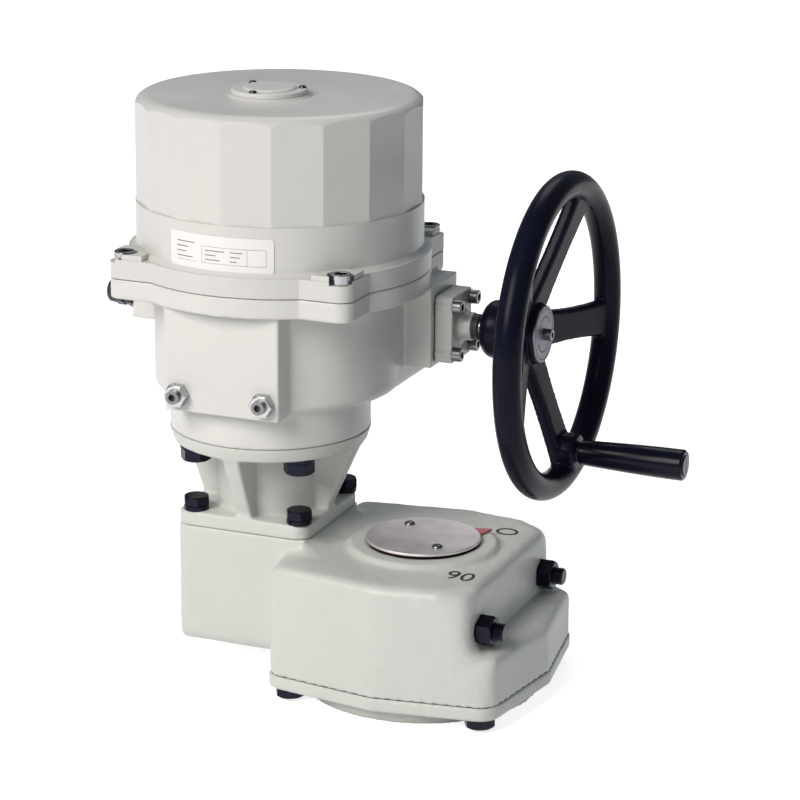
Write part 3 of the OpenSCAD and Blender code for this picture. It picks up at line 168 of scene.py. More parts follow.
def painted(name, colour, peel=0.04 * MM, lumps=0.0, corner_shade=0.5, edge=1.2 * MM, rough=(0.32, 0.46), coat=0.15):
    """Sprayed enamel: faint cloudiness, orange peel, painted shade in the corners, rounded edges."""
    t = Tree(name)
    cloud = t.noise(110 * MM, 4.0, 0.6)
    base = t.ramp(cloud, [(0.3, shade(colour, 0.955)), (0.5, colour), (0.72, shade(colour, 1.03))])
    fine = t.noise(12 * MM, 5.0, 0.65)
    base = t.mix(t.remap(fine, 0.0, 0.10, 0.55, 0.8), base, shade(colour, 0.82))
    # Corners and recesses that occlusion finds get a darker, greener colour: painted shade
    corner = t.remap(t.occlusion(12 * MM), corner_shade, 0.0, 0.25, 0.85)
    dust_and_shade = shade((colour[0] * 0.96, colour[1], colour[2] * 0.93), 0.62)
    base = t.mix(corner, base, dust_and_shade)
    normal = t.bevel(edge)
    if lumps:
        normal = t.bump(t.noise(16 * MM, 5.0, 0.62), lumps, normal)
    normal = t.bump(t.noise(2.1 * MM, 2.0, 0.5), peel, normal)
    return t.set(colour=base, normal=normal, rough=t.remap(cloud, *rough), coat=coat, coat_rough=0.2)


def metal(name, colour, rough=(0.2, 0.4), grain=None, edge=0.4 * MM, wear=0.0):
    """Machined or plated metal with stains, tool marks along the grain, and bright worn spots."""
    t = Tree(name)
    marks = t.noise(1.6 * MM, 4.0, 0.6, grain)
    stain = t.noise(22 * MM, 4.0, 0.6)
    base = t.ramp(stain, [(0.3, shade(colour, 0.86)), (0.7, shade(colour, 1.06))])
    base = t.mix(t.remap(marks, 0.0, 0.25), base, shade(colour, 0.7))
    if wear:
        base = t.mix(t.remap(t.noise(6 * MM, 6.0, 0.7), 0.0, wear, 0.55, 0.72), base, shade(colour, 2.6))
    normal = t.bump(marks, 0.01 * MM, t.bevel(edge))
    return t.set(colour=base, normal=normal, rough=t.remap(stain, *rough), metal=1.0)


def moulded(name, colour, rough=(0.3, 0.42), grain=1.2 * MM, depth=0.03 * MM, edge=0.6 * MM, dusty=0.06,
            specular=0.5):
    """Moulded plastic, rubber or enamel with a fine even grain."""
    t = Tree(name)
    cloud = t.noise(30 * MM, 4.0, 0.6)
    base = t.ramp(cloud, [(0.3, shade(colour, 0.85)), (0.7, shade(colour, 1.15))])
    dust_and_shade = t.remap(t.noise(4 * MM, 6.0, 0.7), 0.0, dusty, 0.6, 0.8)
    base = t.mix(dust_and_shade, base, tuple(0.35 * c + 0.18 for c in colour))
    normal = t.bump(t.noise(grain, 3.0, 0.5), depth, t.bevel(edge))
    return t.set(colour=base, normal=normal, rough=t.remap(cloud, *rough), specular=specular)


BODY = (0.68, 0.685, 0.655)
CAST = (0.635, 0.658, 0.618)
BLACK = (0.0052, 0.0058, 0.0155)

finishes = {
    "body_paint": painted("body_paint", BODY),
    "cast_paint": painted("cast_paint", CAST, peel=0.09 * MM, lumps=1.1 * MM, corner_shade=0.6, edge=2.5 * MM,
                          rough=(0.38, 0.52), coat=0.1),
    "machined_steel": metal("machined_steel", (0.52, 0.53, 0.54)),
    "bearing_bronze": metal("bearing_bronze", (0.62, 0.44, 0.2)),
    "black_bolt": metal("black_bolt", (0.019, 0.020, 0.032), (0.3, 0.46), edge=0.5 * MM, wear=0.05),
    "bright_zinc": metal("bright_zinc", (0.50, 0.505, 0.51), (0.22, 0.34)),
    "seal_rubber": moulded("seal_rubber", (0.02, 0.02, 0.022), (0.5, 0.65)),
    "gland_plastic": moulded("gland_plastic", (0.018, 0.018, 0.02), (0.4, 0.5)),
    "gloss_enamel": moulded("gloss_enamel", BLACK, (0.24, 0.34), grain=3.5 * MM, depth=0.05 * MM,
                            edge=1.2 * MM, dusty=0.002, specular=0.08),
    "grip_plastic": moulded("grip_plastic", BLACK, (0.18, 0.26), grain=4.0 * MM, dusty=0.002, specular=0.12),
    "disc_metal": metal("disc_metal", (0.93, 0.875, 0.87), (0.5, 0.62), grain=(1.0, 12.0, 1.0)),
    "pointer_red": moulded("pointer_red", (0.52, 0.15, 0.17), (0.35, 0.45), grain=2.0 * MM, depth=0.02 * MM,
                           edge=0.3 * MM),
    "label_film": painted("label_film", (0.82, 0.82, 0.815), peel=0.01 * MM, corner_shade=0.1, edge=0.2 * MM,
                          rough=(0.36, 0.42), coat=0.0),
    "motor_paint": painted("motor_paint", (0.05, 0.053, 0.06), corner_shade=0.3, edge=0.6 * MM),
    "switch_plastic": moulded("switch_plastic", (0.03, 0.035, 0.045)),
    "terminal_plastic": moulded("terminal_plastic", (0.05, 0.23, 0.12)),
    "cam_plastic": moulded("cam_plastic", (0.66, 0.62, 0.5)),
}

# Finishes of single nodes that differ a little from their slot's
node_finishes = {
    # The shaft cover's body paint made darker: painted shade on its side of the case
    "shaft_cover": painted("side_paint_painted_shade", shade(BODY, 0.82)),
    "cover": painted("cover_paint", shade(BODY, 0.94)),
    "hub_screw": metal("hub_screw_steel", (0.2, 0.2, 0.21), (0.25, 0.38)),
    "hub_disc": metal("hub_grey", (0.24, 0.235, 0.27), (0.42, 0.55)),
    "cover_screws": metal("dark_chrome", (0.36, 0.36, 0.38), (0.12, 0.22)),
    "window_screws": metal("small_steel", (0.09, 0.09, 0.095), (0.3, 0.4)),
    "stop_screws": metal("stop_steel", (0.22, 0.215, 0.22), (0.28, 0.4)),
    "shaft_cover_screws": metal("socket_steel", (0.22, 0.22, 0.235), (0.22, 0.34)),
    "cover_gasket": moulded("grey_seal", (0.26, 0.25, 0.235), (0.6, 0.7)),
    "handle_spindle": metal("spindle_steel", (0.075, 0.075, 0.09), (0.25, 0.4)),
    "disc_screws": metal("pan_steel", (0.3, 0.3, 0.31), (0.2, 0.3)),
}
rule_grey = moulded("rule_grey", (0.16, 0.16, 0.17), dusty=0.0)


def finish_of(node):
    """The node's own finish, or else its slot's."""
    return node_finishes.get(node, finishes[slots[node]])


def dress(obj, finish):
    obj.data.materials.clear()
    obj.data.materials.append(finish)


for name, obj in nodes.items():
    dress(obj, finish_of(name))


# Meshes
def new_object(name, mesh):
    obj = bpy.data.objects.new(name, mesh)
    bpy.context.scene.collection.objects.link(obj)
    return obj


def stand_in(obj, node, body):
    """Let the piece take the node's place and body: the node is hidden."""
    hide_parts(node)
    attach(obj, body)


def apply_modifiers(obj):
    """Give the object the mesh that its modifiers make, and return it."""
    mesh = bpy.data.meshes.new_from_object(obj.evaluated_get(bpy.context.evaluated_depsgraph_get()))
    obj.modifiers.clear()
    obj.data = mesh
    return mesh


def points_of(mesh):
    out = np.empty(len(mesh.vertices) * 3, dtype=np.float32)
    mesh.vertices.foreach_get("co", out)
    return out.reshape(-1, 3).astype(np.float64)


def normals_of(mesh):
    out = np.empty(len(mesh.vertices) * 3, dtype=np.float32)
    mesh.vertex_normals.foreach_get("vector", out)
    return out.reshape(-1, 3).astype(np.float64)


def put_points(mesh, co):
    mesh.vertices.foreach_set("co", co.astype(np.float32).ravel())
    mesh.update()


# Places in the frame
plate_top = 25.0 * MM
case_low = 25.5 * MM
roof_z = 124.0 * MM
foot_z = 134.5 * MM
neck_z = 220.0 * MM
cover_joint = 360.0 * MM
pad_face = -12.0 * MM
side_plate = -11.4 * MM
actuator_x = -146.0 * MM
foot_bolt = 49.497 * MM
wheel_y, wheel_z = 74.0 * MM, 306.0 * MM
handle_arm, handle_turn = 113.0 * MM, math.radians(-78)
handle_y = wheel_y + handle_arm * math.cos(handle_turn)
handle_z = wheel_z + handle_arm * math.sin(handle_turn)
hub_face, handle_face = 80.0 * MM, 108.1 * MM
cover_at = (-143.8 * MM, 17.0 * MM)
feet = [(actuator_x + sx * foot_bolt, sy * foot_bolt) for sx in (-1, 1) for sy in (-1, 1)]
side_holes = [(wheel_y + sy * 20.0 * MM, wheel_z + sz * 21.5 * MM) for sy in (-1, 1) for sz in (-1, 1)]


# Castings with soft edges
def near(distance, full, none):
    """1 within full of something, falling to 0 at none."""
    return np.clip((none - distance) / (none - full), 0.0, 1.0)


def relax(mesh, rounds, free, low, high):
    """Average each point with its neighbours, by the weights that free gives: 0 for points that stay."""
    co = points_of(mesh)
    n = len(co)
    ends = np.empty(len(mesh.edges) * 2, dtype=np.int32)
    mesh.edges.foreach_get("vertices", ends)
    a, b = ends[0::2], ends[1::2]
    count = np.maximum(np.bincount(a, minlength=n) + np.bincount(b, minlength=n), 1)[:, None]
    pull = 0.5 * free(co)[:, None]
    for _ in range(rounds):
        sums = [np.bincount(a, co[b, k], n) + np.bincount(b, co[a, k], n) for k in range(3)]
        co += pull * (np.stack(sums, 1) / count - co)
    put_points(mesh, np.clip(co, low, high))


def free_of(planes):
    """Weights that are 0 at the planes (axis, place, depth) and rise to 1 over their depth."""
    skin = 0.3 * MM

    def free(co):
        w = np.ones(len(co))
        for axis, place, depth in planes:
            w = np.minimum(w, np.clip((np.abs(co[:, axis] - place) - skin) / depth, 0.0, 1.0))
        return w
    return free


def lumpy(co, depth):
    """Heights of a smooth random surface, within about depth of zero."""
    size, waves, seed = 16.0 * MM, 24, 7
    rng = np.random.default_rng(seed)
    total = np.zeros(len(co))
    for _ in range(waves):
        way = rng.normal(size=3)
        way *= 2.0 * math.pi / (size * rng.uniform(0.7, 2.2) * np.linalg.norm(way))
        total += np.cos(co @ way + rng.uniform(0.0, 2.0 * math.pi))
    return depth * total / math.sqrt(waves)


def add_plug(bm, axis, centre, low, high, r):
    """A closed round plug along X (0) or Z (2), which fills a screw hole before the remesh."""
    turn = {0: Matrix.Rotation(math.pi / 2, 4, "Y"), 2: Matrix.Identity(4)}[axis]
    middle = 0.5 * (low + high)
    place = (middle, *centre) if axis == 0 else (*centre, middle)
    bmesh.ops.create_cone(bm, cap_ends=True, segments=28, radius1=r, radius2=r, depth=high - low,
                          matrix=Matrix.Translation(place) @ turn)


def casting(node, voxel, rounds, planes=(), held=None, zone=None, plugs=(), lumps=0.0, swell=0.0,
            shape=None, body="frame", spare=0.0):
    """A casting in the node's place: the same form with its edges and inner corners rounded.

    The planes stay flat, held keeps more of the form, and zone is rounded more. The plugs fill screw
    holes. Lumps make the skin uneven and swell moves it outwards, inside the node's box widened by
    spare. Shape moves points last."""
    zone_rounds, keep, sharp = 260, 0.3, math.radians(48)
    mesh = nodes[node].data.copy()
    bm = bmesh.new()
    bm.from_mesh(mesh)
    for plug in plugs:
        add_plug(bm, *plug)
    bm.to_mesh(mesh)
    bm.free()
    obj = new_object(node + "_casting", mesh)
    remesh = obj.modifiers.new("remesh", "REMESH")
    remesh.mode = "VOXEL"
    remesh.voxel_size = voxel
    fine = apply_modifiers(obj)
    low, high = (np.array(v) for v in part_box(node))
    low, high = low - spare, high + spare
    free = held(free_of(planes)) if held else free_of(planes)
    relax(fine, rounds, free, low, high)
    if zone:
        relax(fine, zone_rounds, lambda co: np.minimum(free(co), zone(co)), low, high)
    if lumps or swell:
        co = points_of(fine)
        height = swell + (lumpy(co, lumps) if lumps else 0.0)
        put_points(fine, np.clip(co + normals_of(fine) * (free(co) * height)[:, None], low, high))
    if shape:
        put_points(fine, shape(points_of(fine)))
    obj.modifiers.new("thin", "DECIMATE").ratio = keep
    small = apply_modifiers(obj)
    small.shade_smooth()
    small.set_sharp_from_angle(angle=sharp)
    dress(obj, finish_of(node))
    stand_in(obj, node, body)
    return obj


def case_zone(co):
    """Where the gear case is rounder still: upright corners, the slope below the foot, bowed sides."""
    corner_x, corner_y = 81.0 * MM, 106.0 * MM
    slope_x, slope_z, slope_half = -78.0 * MM, 126.0 * MM, 66.0 * MM
    wall_z, wall_half, wall_y = 71.0 * MM, 33.0 * MM, 90.0 * MM
    x, y, z = co[:, 0], np.abs(co[:, 1]), co[:, 2]
    corner = near(np.hypot(x - corner_x, y - corner_y), 12.0 * MM, 26.0 * MM)
    slope = near(np.abs(x - slope_x), 6.0 * MM, 16.0 * MM) * near(np.abs(z - slope_z), 7.0 * MM, 12.0 * MM)
    slope = 0.7 * slope * near(y, slope_half, slope_half + 6.0 * MM)
    wall = near(np.abs(z - wall_z), wall_half, wall_half + 10.0 * MM) * (y > wall_y)
    bow = near(np.abs(x), 14.0 * MM, 36.0 * MM) * wall
    return np.maximum(np.maximum(corner, bow), slope)


def ring_held(free):
    """The indicator ring keeps more of its edge than the rest of the case."""
    ring_r = 62.0 * MM

    def hold(co):
        off = np.abs(np.hypot(co[:, 0], co[:, 1]) - ring_r)
        ring = near(off, 7.0 * MM, 12.0 * MM) * (co[:, 2] > roof_z + 0.5 * MM)
        return free(co) * (1.0 - 0.95 * ring)
    return hold


def from_wheel(co):
    """Distances from the handwheel's axis."""
    return np.hypot(co[:, 1] - wheel_y, co[:, 2] - wheel_z)


def seats_held(free):
    """The handwheel's seats for its hub disc and its handle stay flat, and its hub stays crisp."""
    hub_r, boss_r, skin, depth, inner_end = 26.5 * MM, 16.5 * MM, 0.3 * MM, 1.5 * MM, 56.0 * MM

    def hold(co):
        boss = np.hypot(co[:, 1] - handle_y, co[:, 2] - handle_z) < boss_r
        seat = np.where(boss, np.abs(co[:, 0] - handle_face), 1.0)
        seat = np.where(from_wheel(co) < hub_r, np.abs(co[:, 0] - hub_face), seat)
        inner = near(from_wheel(co), 28.5 * MM, 31.0 * MM) * (co[:, 0] < inner_end)
        return free(co) * (1.0 - 0.75 * inner) * np.clip((seat - skin) / depth, 0.0, 1.0)
    return hold


def shorter_hub(co):
    """The hub's inner end lies a little further out than the solid's."""
    hub_r, start, length, cut = 28.5 * MM, 58.0 * MM, 30.0 * MM, 4.2 * MM
    hub = (from_wheel(co) < hub_r) & (co[:, 0] < start)
    co[:, 0] += np.where(hub, cut * np.clip((start - co[:, 0]) / length, 0.0, 1.0), 0.0)
    return co


flat = 2.0 * MM
foot_plugs = [(2, at, foot_z + 0.2 * MM, foot_z + 12.8 * MM, 9.2 * MM) for at in feet]
block_plugs = [(2, at, 120.0 * MM, foot_z - 0.2 * MM, 9.2 * MM) for at in feet]
side_plugs = [(0, at, side_plate + 0.1 * MM, 5.0 * MM, 4.9 * MM) for at in side_holes]
case = casting("gear_case", 1.5 * MM, 24, [(2, case_low, 3.0 * MM), (2, foot_z, flat)], held=ring_held,
               zone=case_zone, plugs=block_plugs, lumps=0.12 * MM)
casting("bracket", 1.3 * MM, 8, [(2, foot_z, flat), (2, neck_z, flat)], plugs=foot_plugs, lumps=0.12 * MM)
casting("base_housing", 1.4 * MM, 3, [(2, cover_joint, flat), (2, neck_z, flat), (0, pad_face, flat)])
casting("bottom_plate", 1.4 * MM, 4, [(2, plate_top, flat), (2, 0.0, 1.0 * MM)])
casting("shaft_cover", 0.9 * MM, 5, [(0, side_plate, flat)], plugs=side_plugs, spare=0.6 * MM)
casting("handwheel", 1.3 * MM, 8, held=seats_held, swell=1.2 * MM, shape=shorter_hub, body="hand_drive",
        spare=1.6 * MM)


# Small pieces
def mesh_piece(name, bm, finish, sharp=35.0):
    """Turn the mesh being built into an object."""
    bmesh.ops.recalc_face_normals(bm, faces=bm.faces)
    mesh = bpy.data.meshes.new(name)
    bm.to_mesh(mesh)
    bm.free()
    mesh.shade_smooth()
    mesh.set_sharp_from_angle(angle=math.radians(sharp))
    obj = new_object(name, mesh)
    dress(obj, finish)
    return obj


def added_piece(name, bm, slot, body, finish=None):
    """A piece that stands for no node, in its slot's finish or in its own."""
    obj = mesh_piece(name, bm, finish or finishes[slot])
    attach(obj, body)


def close_strip(bm, rows, closed=False):
    """Faces between rows of four points, with caps at the ends of an open strip."""
    after = rows[1:] + rows[:1] if closed else rows[1:]
    for one, two in zip(rows, after):
        for k in range(4):
            bm.faces.new((one[k], one[(k + 1) % 4], two[(k + 1) % 4], two[k]))
    if not closed:
        bm.faces.new(rows[0])
        bm.faces.new(rows[-1])


def stroke(bm, points, width, place, closed=False, thick=0.25 * MM):
    """A raised line through plane points; place(u, v, h) gives its position at a height over the surface."""
    pts = [Vector(p) for p in points]
    n = len(pts)
    rows = []
    for i, p in enumerate(pts):
        before = pts[(i - 1) % n] if closed or i else p
        after = pts[(i + 1) % n] if closed or i < n - 1 else p
        way = (after - before).normalized()
        across = Vector((-way.y, way.x)) * width / 2
        rows.append([bm.verts.new(place(q.x, q.y, h)) for q, h in
                     ((p - across, -thick), (p - across, thick), (p + across, thick), (p + across, -thick))])
    close_strip(bm, rows, closed)


def arc(cx, cy, rx, ry, start, end, steps):
    """Points round a centre, from one angle in degrees to another."""
    turns = [math.radians(start + (end - start) * i / steps) for i in range(steps + 1)]
    return [(cx + rx * math.cos(a), cy + ry * math.sin(a)) for a in turns]


def oval(cx, cy, rx, ry, steps):
    """The points of a closed arc, without the first one again at the end."""
    return arc(cx, cy, rx, ry, 0, 360, steps)[:-1]


def position_numbers():
    """Plain numbers painted on the gear case at the two ends of the pointer's travel."""
    polygons = [tuple(p.vertices) for p in case.data.polygons]
    tree = BVHTree.FromPolygons([v.co for v in case.data.vertices], polygons)
    above = 200.0 * MM

    def on_case(u, v, h):
        hit = tree.ray_cast(Vector((u, v, above)), Vector((0.0, 0.0, -1.0)))[0]
        return Vector((u, v, (hit.z if hit else roof_z) + h))

    line = 2.5 * MM
    x, y = 51.5 * MM, -60.5 * MM
    nine_tail = [(4.1, 4.2), (4.0, 1.0), (3.2, -2.6), (1.5, -5.8), (-1.2, -8.2)]
    bm = bmesh.new()
    stroke(bm, oval(54.5 * MM, 64.5 * MM, 8.8 * MM, 7.6 * MM, 48), line, on_case, True)
    stroke(bm, oval(x, y + 4.2 * MM, 4.1 * MM, 4.2 * MM, 32), line, on_case, True)
    stroke(bm, [(x + u * MM, y + v * MM) for u, v in nine_tail], line, on_case)
    stroke(bm, oval(x + 13.2 * MM, y, 4.4 * MM, 8.4 * MM, 40), line, on_case, True)
    added_piece("position_numbers", bm, "gland_plastic", "frame")


def label():
    """A blank film label on the cover's band, with ruled cells, short strokes and rounded corners."""
    r, middle, tilt = 125.5 * MM, math.radians(-90.1), -0.006
    half, low, high, corner = 48.6 * MM, 381.0 * MM, 410.6 * MM, 2.2 * MM
    back, face, columns = 0.1 * MM, 0.6 * MM, 60

    def on_band(u, v, h):
        a, out = middle + u / r, r + h
        return Vector((cover_at[0] + out * math.cos(a), cover_at[1] + out * math.sin(a), v + tilt * u))

    bm = bmesh.new()
    rows = []
    for i in range(columns + 1):
        u = -half + 2 * half * i / columns
        cut = max(0.0, abs(u) - (half - corner))
        drop = corner - math.sqrt(max(0.0, corner ** 2 - cut ** 2))
        edge = ((low + drop, back), (low + drop, face), (high - drop, face), (high - drop, back))
        rows.append([bm.verts.new(on_band(u, v, h)) for v, h in edge])
    close_strip(bm, rows)
    stand_in(mesh_piece("label_film", bm, finishes["label_film"]), "label_plate", "frame")

    hair, bold, steps = 0.28 * MM, 0.75 * MM, 12
    bm = bmesh.new()

    def rule(u0, v0, u1, v1, width):
        pts = [(u0 + (u1 - u0) * i / steps, v0 + (v1 - v0) * i / steps) for i in range(steps + 1)]
        stroke(bm, pts, width, lambda u, v, h: on_band(u, v, face + 0.02 * MM + h), thick=0.04 * MM)

    top, bottom = high - 9.5 * MM, low + 6.0 * MM
    left, cell_left, cell_split, cell_right = -41.0 * MM, -15.0 * MM, 26.0 * MM, 42.0 * MM
    for v in (top, bottom):
        rule(cell_left, v, cell_right, v, hair)
    rule(left, bottom, -20.0 * MM, bottom, hair)
    for u in (cell_left, cell_split, cell_right):
        rule(u, bottom, u, top, hair)
    for i, end in enumerate((-22.0, -29.0, -31.0, -24.0)):
        v = top + (1.5 - 4.2 * i) * MM
        rule(left, v, end * MM, v, bold)
    for i, (first_end, second_end) in enumerate(((6.0, 22.0), (-2.0, 20.0), (2.0, 17.0))):
        v = top - (3.4 + 3.9 * i) * MM
        rule(-12.0 * MM, v, first_end * MM, v, bold)
        rule(11.0 * MM, v, second_end * MM, v, bold)
    added_piece("label_rules", bm, "switch_plastic", "frame", rule_grey)


def turn_marks():
    """A border ring and two turning arrows on the handwheel's hub disc."""
    disc_face, thick, ring_r, arrow_r = 81.82 * MM, 0.06 * MM, 22.2 * MM, 15.5 * MM
    head_length, head_half = 4.2 * MM, 2.0 * MM

    def on_disc(u, v, h):
        return Vector((disc_face + h, wheel_y + u, wheel_z + v))

    bm = bmesh.new()
    stroke(bm, oval(0, 0, ring_r, ring_r, 72), 0.9 * MM, on_disc, True, thick)
    for start, end, way in ((30, 150, 1), (330, 210, -1)):
        stroke(bm, arc(0, 0, arrow_r, arrow_r, start, end, 24), 1.0 * MM, on_disc, False, thick)
        a = math.radians(end)
        out = Vector((math.cos(a), math.sin(a)))
        along = Vector((-out.y, out.x)) * way
        head = [out * arrow_r + along * head_length, out * (arrow_r + head_half), out * (arrow_r - head_half)]
        caps = [[bm.verts.new(on_disc(p.x, p.y, h)) for p in head] for h in (-thick, thick)]
        for cap in caps:
            bm.faces.new(cap)
        for k in range(3):
            bm.faces.new((caps[0][k], caps[0][(k + 1) % 3], caps[1][(k + 1) % 3], caps[1][k]))
    added_piece("turn_marks", bm, "gland_plastic", "hand_drive")


def lathe(bm, profile, place, sides=40):
    """Turn (r, h) points round an axis, from r 0 to r 0; place(x, y, h) puts them in the frame."""
    turns = [2 * math.pi * k / sides for k in range(sides)]
    rings = []
    for r, h in profile:
        if r == 0.0:
            rings.append([bm.verts.new(place(0.0, 0.0, h))])
        else:
            rings.append([bm.verts.new(place(r * math.cos(a), r * math.sin(a), h)) for a in turns])
    for one, two in zip(rings, rings[1:]):
        for k in range(sides):
            corners = (one[k % len(one)], one[(k + 1) % len(one)], two[(k + 1) % len(two)], two[k % len(two)])
            bm.faces.new([v for i, v in enumerate(corners) if v not in corners[:i]])


def disc_screws():
    """Two cross-recessed pan heads on the indicator disc."""
    seat, circle = 133.3 * MM, 33.0 * MM
    dome = [(0.0, -6.0), (2.4, -6.0), (2.4, 0.0), (4.7, 0.0), (4.8, 0.6), (4.55, 1.3), (3.9, 2.0), (2.9, 2.5),
            (1.6, 2.78), (0.0, 2.85)]
    slot_size = Matrix.Diagonal((5.4 * MM, 1.15 * MM, 2.6 * MM, 1.0))
    heads = bmesh.new()
    cuts = bmesh.new()
    for turn, spin in ((-47.0, 20.0), (133.0, 65.0)):
        a = math.radians(turn)
        cx, cy = circle * math.cos(a), circle * math.sin(a)
        lathe(heads, [(r * MM, h * MM) for r, h in dome], lambda x, y, h: Vector((cx + x, cy + y, seat + h)))
        at = Matrix.Translation((cx, cy, seat + 2.6 * MM))
        for quarter in (0.0, 90.0):
            turned = Matrix.Rotation(math.radians(spin + quarter), 4, "Z")
            bmesh.ops.create_cube(cuts, size=1.0, matrix=at @ turned @ slot_size)
    obj = mesh_piece("disc_screws_pan", heads, finish_of("disc_screws"), 40.0)
    tool_mesh = bpy.data.meshes.new("cross_cut")
    cuts.to_mesh(tool_mesh)
    cuts.free()
    tool = new_object("cross_cut", tool_mesh)
    cross = obj.modifiers.new("cross", "BOOLEAN")
    cross.operation = "DIFFERENCE"
    cross.solver = "EXACT"
    cross.use_self = True
    cross.object = tool
    apply_modifiers(obj)
    bpy.data.objects.remove(tool)
    stand_in(obj, "disc_screws", "gearbox_output")


def stop_screws():
    """The gear case's two travel stops, with a real thread where they leave their nuts."""
    pitch, crest, root = 2.0 * MM, 7.75 * MM, 6.7 * MM
    inner, plain, outer = 18.4 * MM, 84.0 * MM, 105.0 * MM
    stop_y, stop_z = 76.0 * MM, 85.0 * MM
    sides, rows = 40, 96
    places = [inner] + [plain + (outer - plain) * j / rows for j in range(rows + 1)]
    bm = bmesh.new()

    def radius(x, k):
        """The plain shank's, and from its end the thread's, which runs out in a chamfer."""
        if x < plain:
            return crest
        wave = abs(((x / pitch - k / sides) % 1.0) * 2.0 - 1.0)
        r = root + (crest - root) * min(1.0, 1.25 * wave)
        return min(r, root - 0.3 * MM + (outer - x))

    def ring(x, side):
        verts = []
        for k in range(sides):
            a, r = 2 * math.pi * k / sides, radius(x, k)
            verts.append(bm.verts.new((x, side * stop_y + r * math.cos(a), stop_z + r * math.sin(a))))
        return verts

    for side in (-1, 1):
        rings = [ring(x, side) for x in places]
        for one, two in zip(rings, rings[1:]):
            for k in range(sides):
                bm.faces.new((one[k], one[(k + 1) % sides], two[(k + 1) % sides], two[k]))
        bm.faces.new(rings[0])
        bm.faces.new(rings[-1])
    obj = mesh_piece("case_stop_screws_threaded", bm, finishes["black_bolt"], 30.0)
    stand_in(obj, "case_stop_screws", "frame")


def reshaped(node, name, change):
    """A copy of a node in its place, with its points moved by change."""
    mesh = nodes[node].data.copy()
    put_points(mesh, change(points_of(mesh)))
    obj = new_object(name, mesh)
    dress(obj, finish_of(node))
    stand_in(obj, node, "frame")


def wide_gasket(co):
    """The cover's gasket reaches far enough out to show at the joint."""
    for k in (0, 1):
        co[:, k] = cover_at[k] + (co[:, k] - cover_at[k]) * 1.021
    return co


def short_caps(co):
    """The glands' two cap nuts, screwed home: shorter than the solids and a little slimmer."""
    length, width, reach = 0.69, 0.93, 12.04 * MM
    low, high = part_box("gland_nuts")
    between = 0.5 * (low[1] + high[1])
    middle_y = np.where(co[:, 1] < between, low[1] + reach, high[1] - reach)
    middle_z = 0.5 * (low[2] + high[2])
    co[:, 0] = high[0] + (co[:, 0] - high[0]) * length
    co[:, 1] = middle_y + (co[:, 1] - middle_y) * width
    co[:, 2] = middle_z + (co[:, 2] - middle_z) * width
    return co


position_numbers()
label()
turn_marks()
disc_screws()
stop_screws()
reshaped("cover_gasket", "cover_gasket_flush", wide_gasket)
reshaped("gland_nuts", "gland_caps", short_caps)


# Studio
def floor_material():
    """A pale floor that glows to the camera, a little more far away, so that the background is white."""
    t = Tree("studio_floor")
    tone = t.ramp(t.noise(0.9, 2.0, 0.5), [(0.3, (0.86, 0.86, 0.86)), (0.7, (0.88, 0.88, 0.88))])
    t.set(colour=tone, rough=0.7, specular=0.15)
    path = t.add("LightPath")
    far = t.add("VectorMath")
    far.operation = "LENGTH"
    t.link(t.coords, far.inputs[0])
    level = t.remap(far.outputs["Value"], 0.78, 1.0, 0.8, 3.0)
    seen = t.math("MAXIMUM", path.outputs["Is Camera Ray"], path.outputs["Is Glossy Ray"])
    glow = t.add("Emission")
    glow.inputs["Color"].default_value = (1.0, 1.0, 1.0, 1.0)
    t.link(t.math("MULTIPLY", seen, level), glow.inputs["Strength"])
    both = t.add("AddShader")
    t.link(t.shader.outputs[0], both.inputs[0])
    t.link(glow.outputs[0], both.inputs[1])
    t.link(both.outputs[0], t.out.inputs[0])
    return t.mat


def make_floor():
    radius, drop = 9.0, 0.6 * MM
    mesh = bpy.data.meshes.new("floor")
    bm = bmesh.new()
    bmesh.ops.create_circle(bm, cap_ends=True, radius=radius, segments=96)
    bmesh.ops.translate(bm, verts=bm.verts, vec=(0.0, 0.0, -drop))
    bm.to_mesh(mesh)
    bm.free()
    obj = new_object("floor", mesh)
    dress(obj, floor_material())


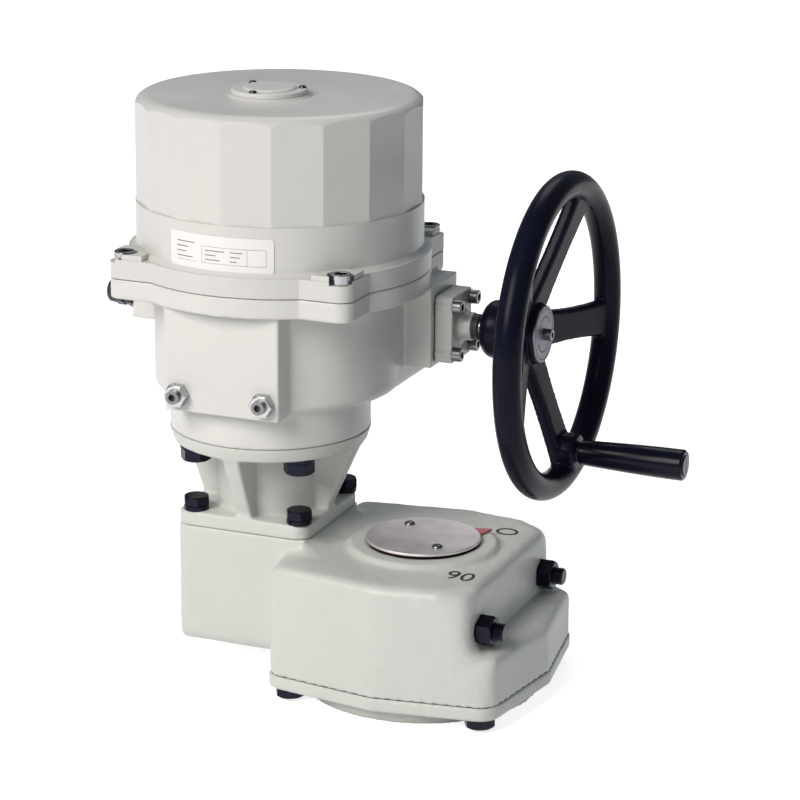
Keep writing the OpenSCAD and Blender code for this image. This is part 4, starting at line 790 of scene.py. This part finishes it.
def make_world():
    """Dim cool light from all sides, while the camera itself sees plain white."""
    world = bpy.data.worlds.new("studio")
    bpy.context.scene.world = world
    world.use_nodes = True
    tree = world.node_tree
    tree.nodes.clear()
    out = tree.nodes.new("ShaderNodeOutputWorld")
    light = tree.nodes.new("ShaderNodeBackground")
    light.inputs["Color"].default_value = (0.90, 0.99, 1.12, 1.0)
    light.inputs["Strength"].default_value = 0.175
    backdrop = tree.nodes.new("ShaderNodeBackground")
    backdrop.inputs["Color"].default_value = (1.0, 1.0, 1.0, 1.0)
    path = tree.nodes.new("ShaderNodeLightPath")
    seen = tree.nodes.new("ShaderNodeMath")
    seen.operation = "MAXIMUM"
    tree.links.new(path.outputs["Is Camera Ray"], seen.inputs[0])
    tree.links.new(path.outputs["Is Transmission Ray"], seen.inputs[1])
    choose = tree.nodes.new("ShaderNodeMixShader")
    tree.links.new(seen.outputs[0], choose.inputs[0])
    tree.links.new(light.outputs[0], choose.inputs[1])
    tree.links.new(backdrop.outputs[0], choose.inputs[2])
    tree.links.new(choose.outputs[0], out.inputs[0])


def lamp(name, place, aim, size, power, colour=(1.0, 1.0, 1.0)):
    """A square area light."""
    data = bpy.data.lights.new(name, "AREA")
    data.shape = "RECTANGLE"
    data.size = size
    data.size_y = size
    data.energy = power
    data.color = colour
    obj = new_object(name, data)
    obj.location = place
    obj.rotation_euler = (Vector(aim) - Vector(place)).to_track_quat("-Z", "Y").to_euler()


def make_camera():
    """The photograph's view, from the front right and a little above."""
    yaw, pitch, roll = math.radians(22.1), math.radians(16.4), math.radians(0.5)
    distance, aim_left, aim_z = 2.499, 21.4 * MM, 256.5 * MM
    back = Vector((math.sin(yaw) * math.cos(pitch), -math.cos(yaw) * math.cos(pitch), math.sin(pitch)))
    right = Vector((math.cos(yaw), math.sin(yaw), 0.0))
    up = back.cross(right)
    turned = math.cos(roll) * right + math.sin(roll) * up
    risen = -math.sin(roll) * right + math.cos(roll) * up
    place = -aim_left * right + Vector((0.0, 0.0, aim_z)) + back * distance
    data = bpy.data.cameras.new("camera")
    data.sensor_width = 36.0
    data.lens = 130.5
    data.clip_end = 50.0
    obj = new_object("camera", data)
    obj.matrix_world = Matrix((
        (turned.x, risen.x, back.x, place.x),
        (turned.y, risen.y, back.y, place.y),
        (turned.z, risen.z, back.z, place.z),
        (0.0, 0.0, 0.0, 1.0)))
    bpy.context.scene.camera = obj


make_floor()
make_world()
lamp("key", (-0.90, -2.54, 2.19), (-0.08, 0.0, 0.25), 1.7, 97.0, (1.0, 0.94, 0.905))
lamp("fill", (2.3, -2.0, 1.0), (-0.05, 0.0, 0.25), 1.4, 0.8, (0.95, 1.0, 1.0))
lamp("rim", (-0.5, 1.7, 2.3), (-0.1, 0.0, 0.35), 1.2, 9.5)
make_camera()
bpy.context.scene.view_settings.view_transform = "Standard"
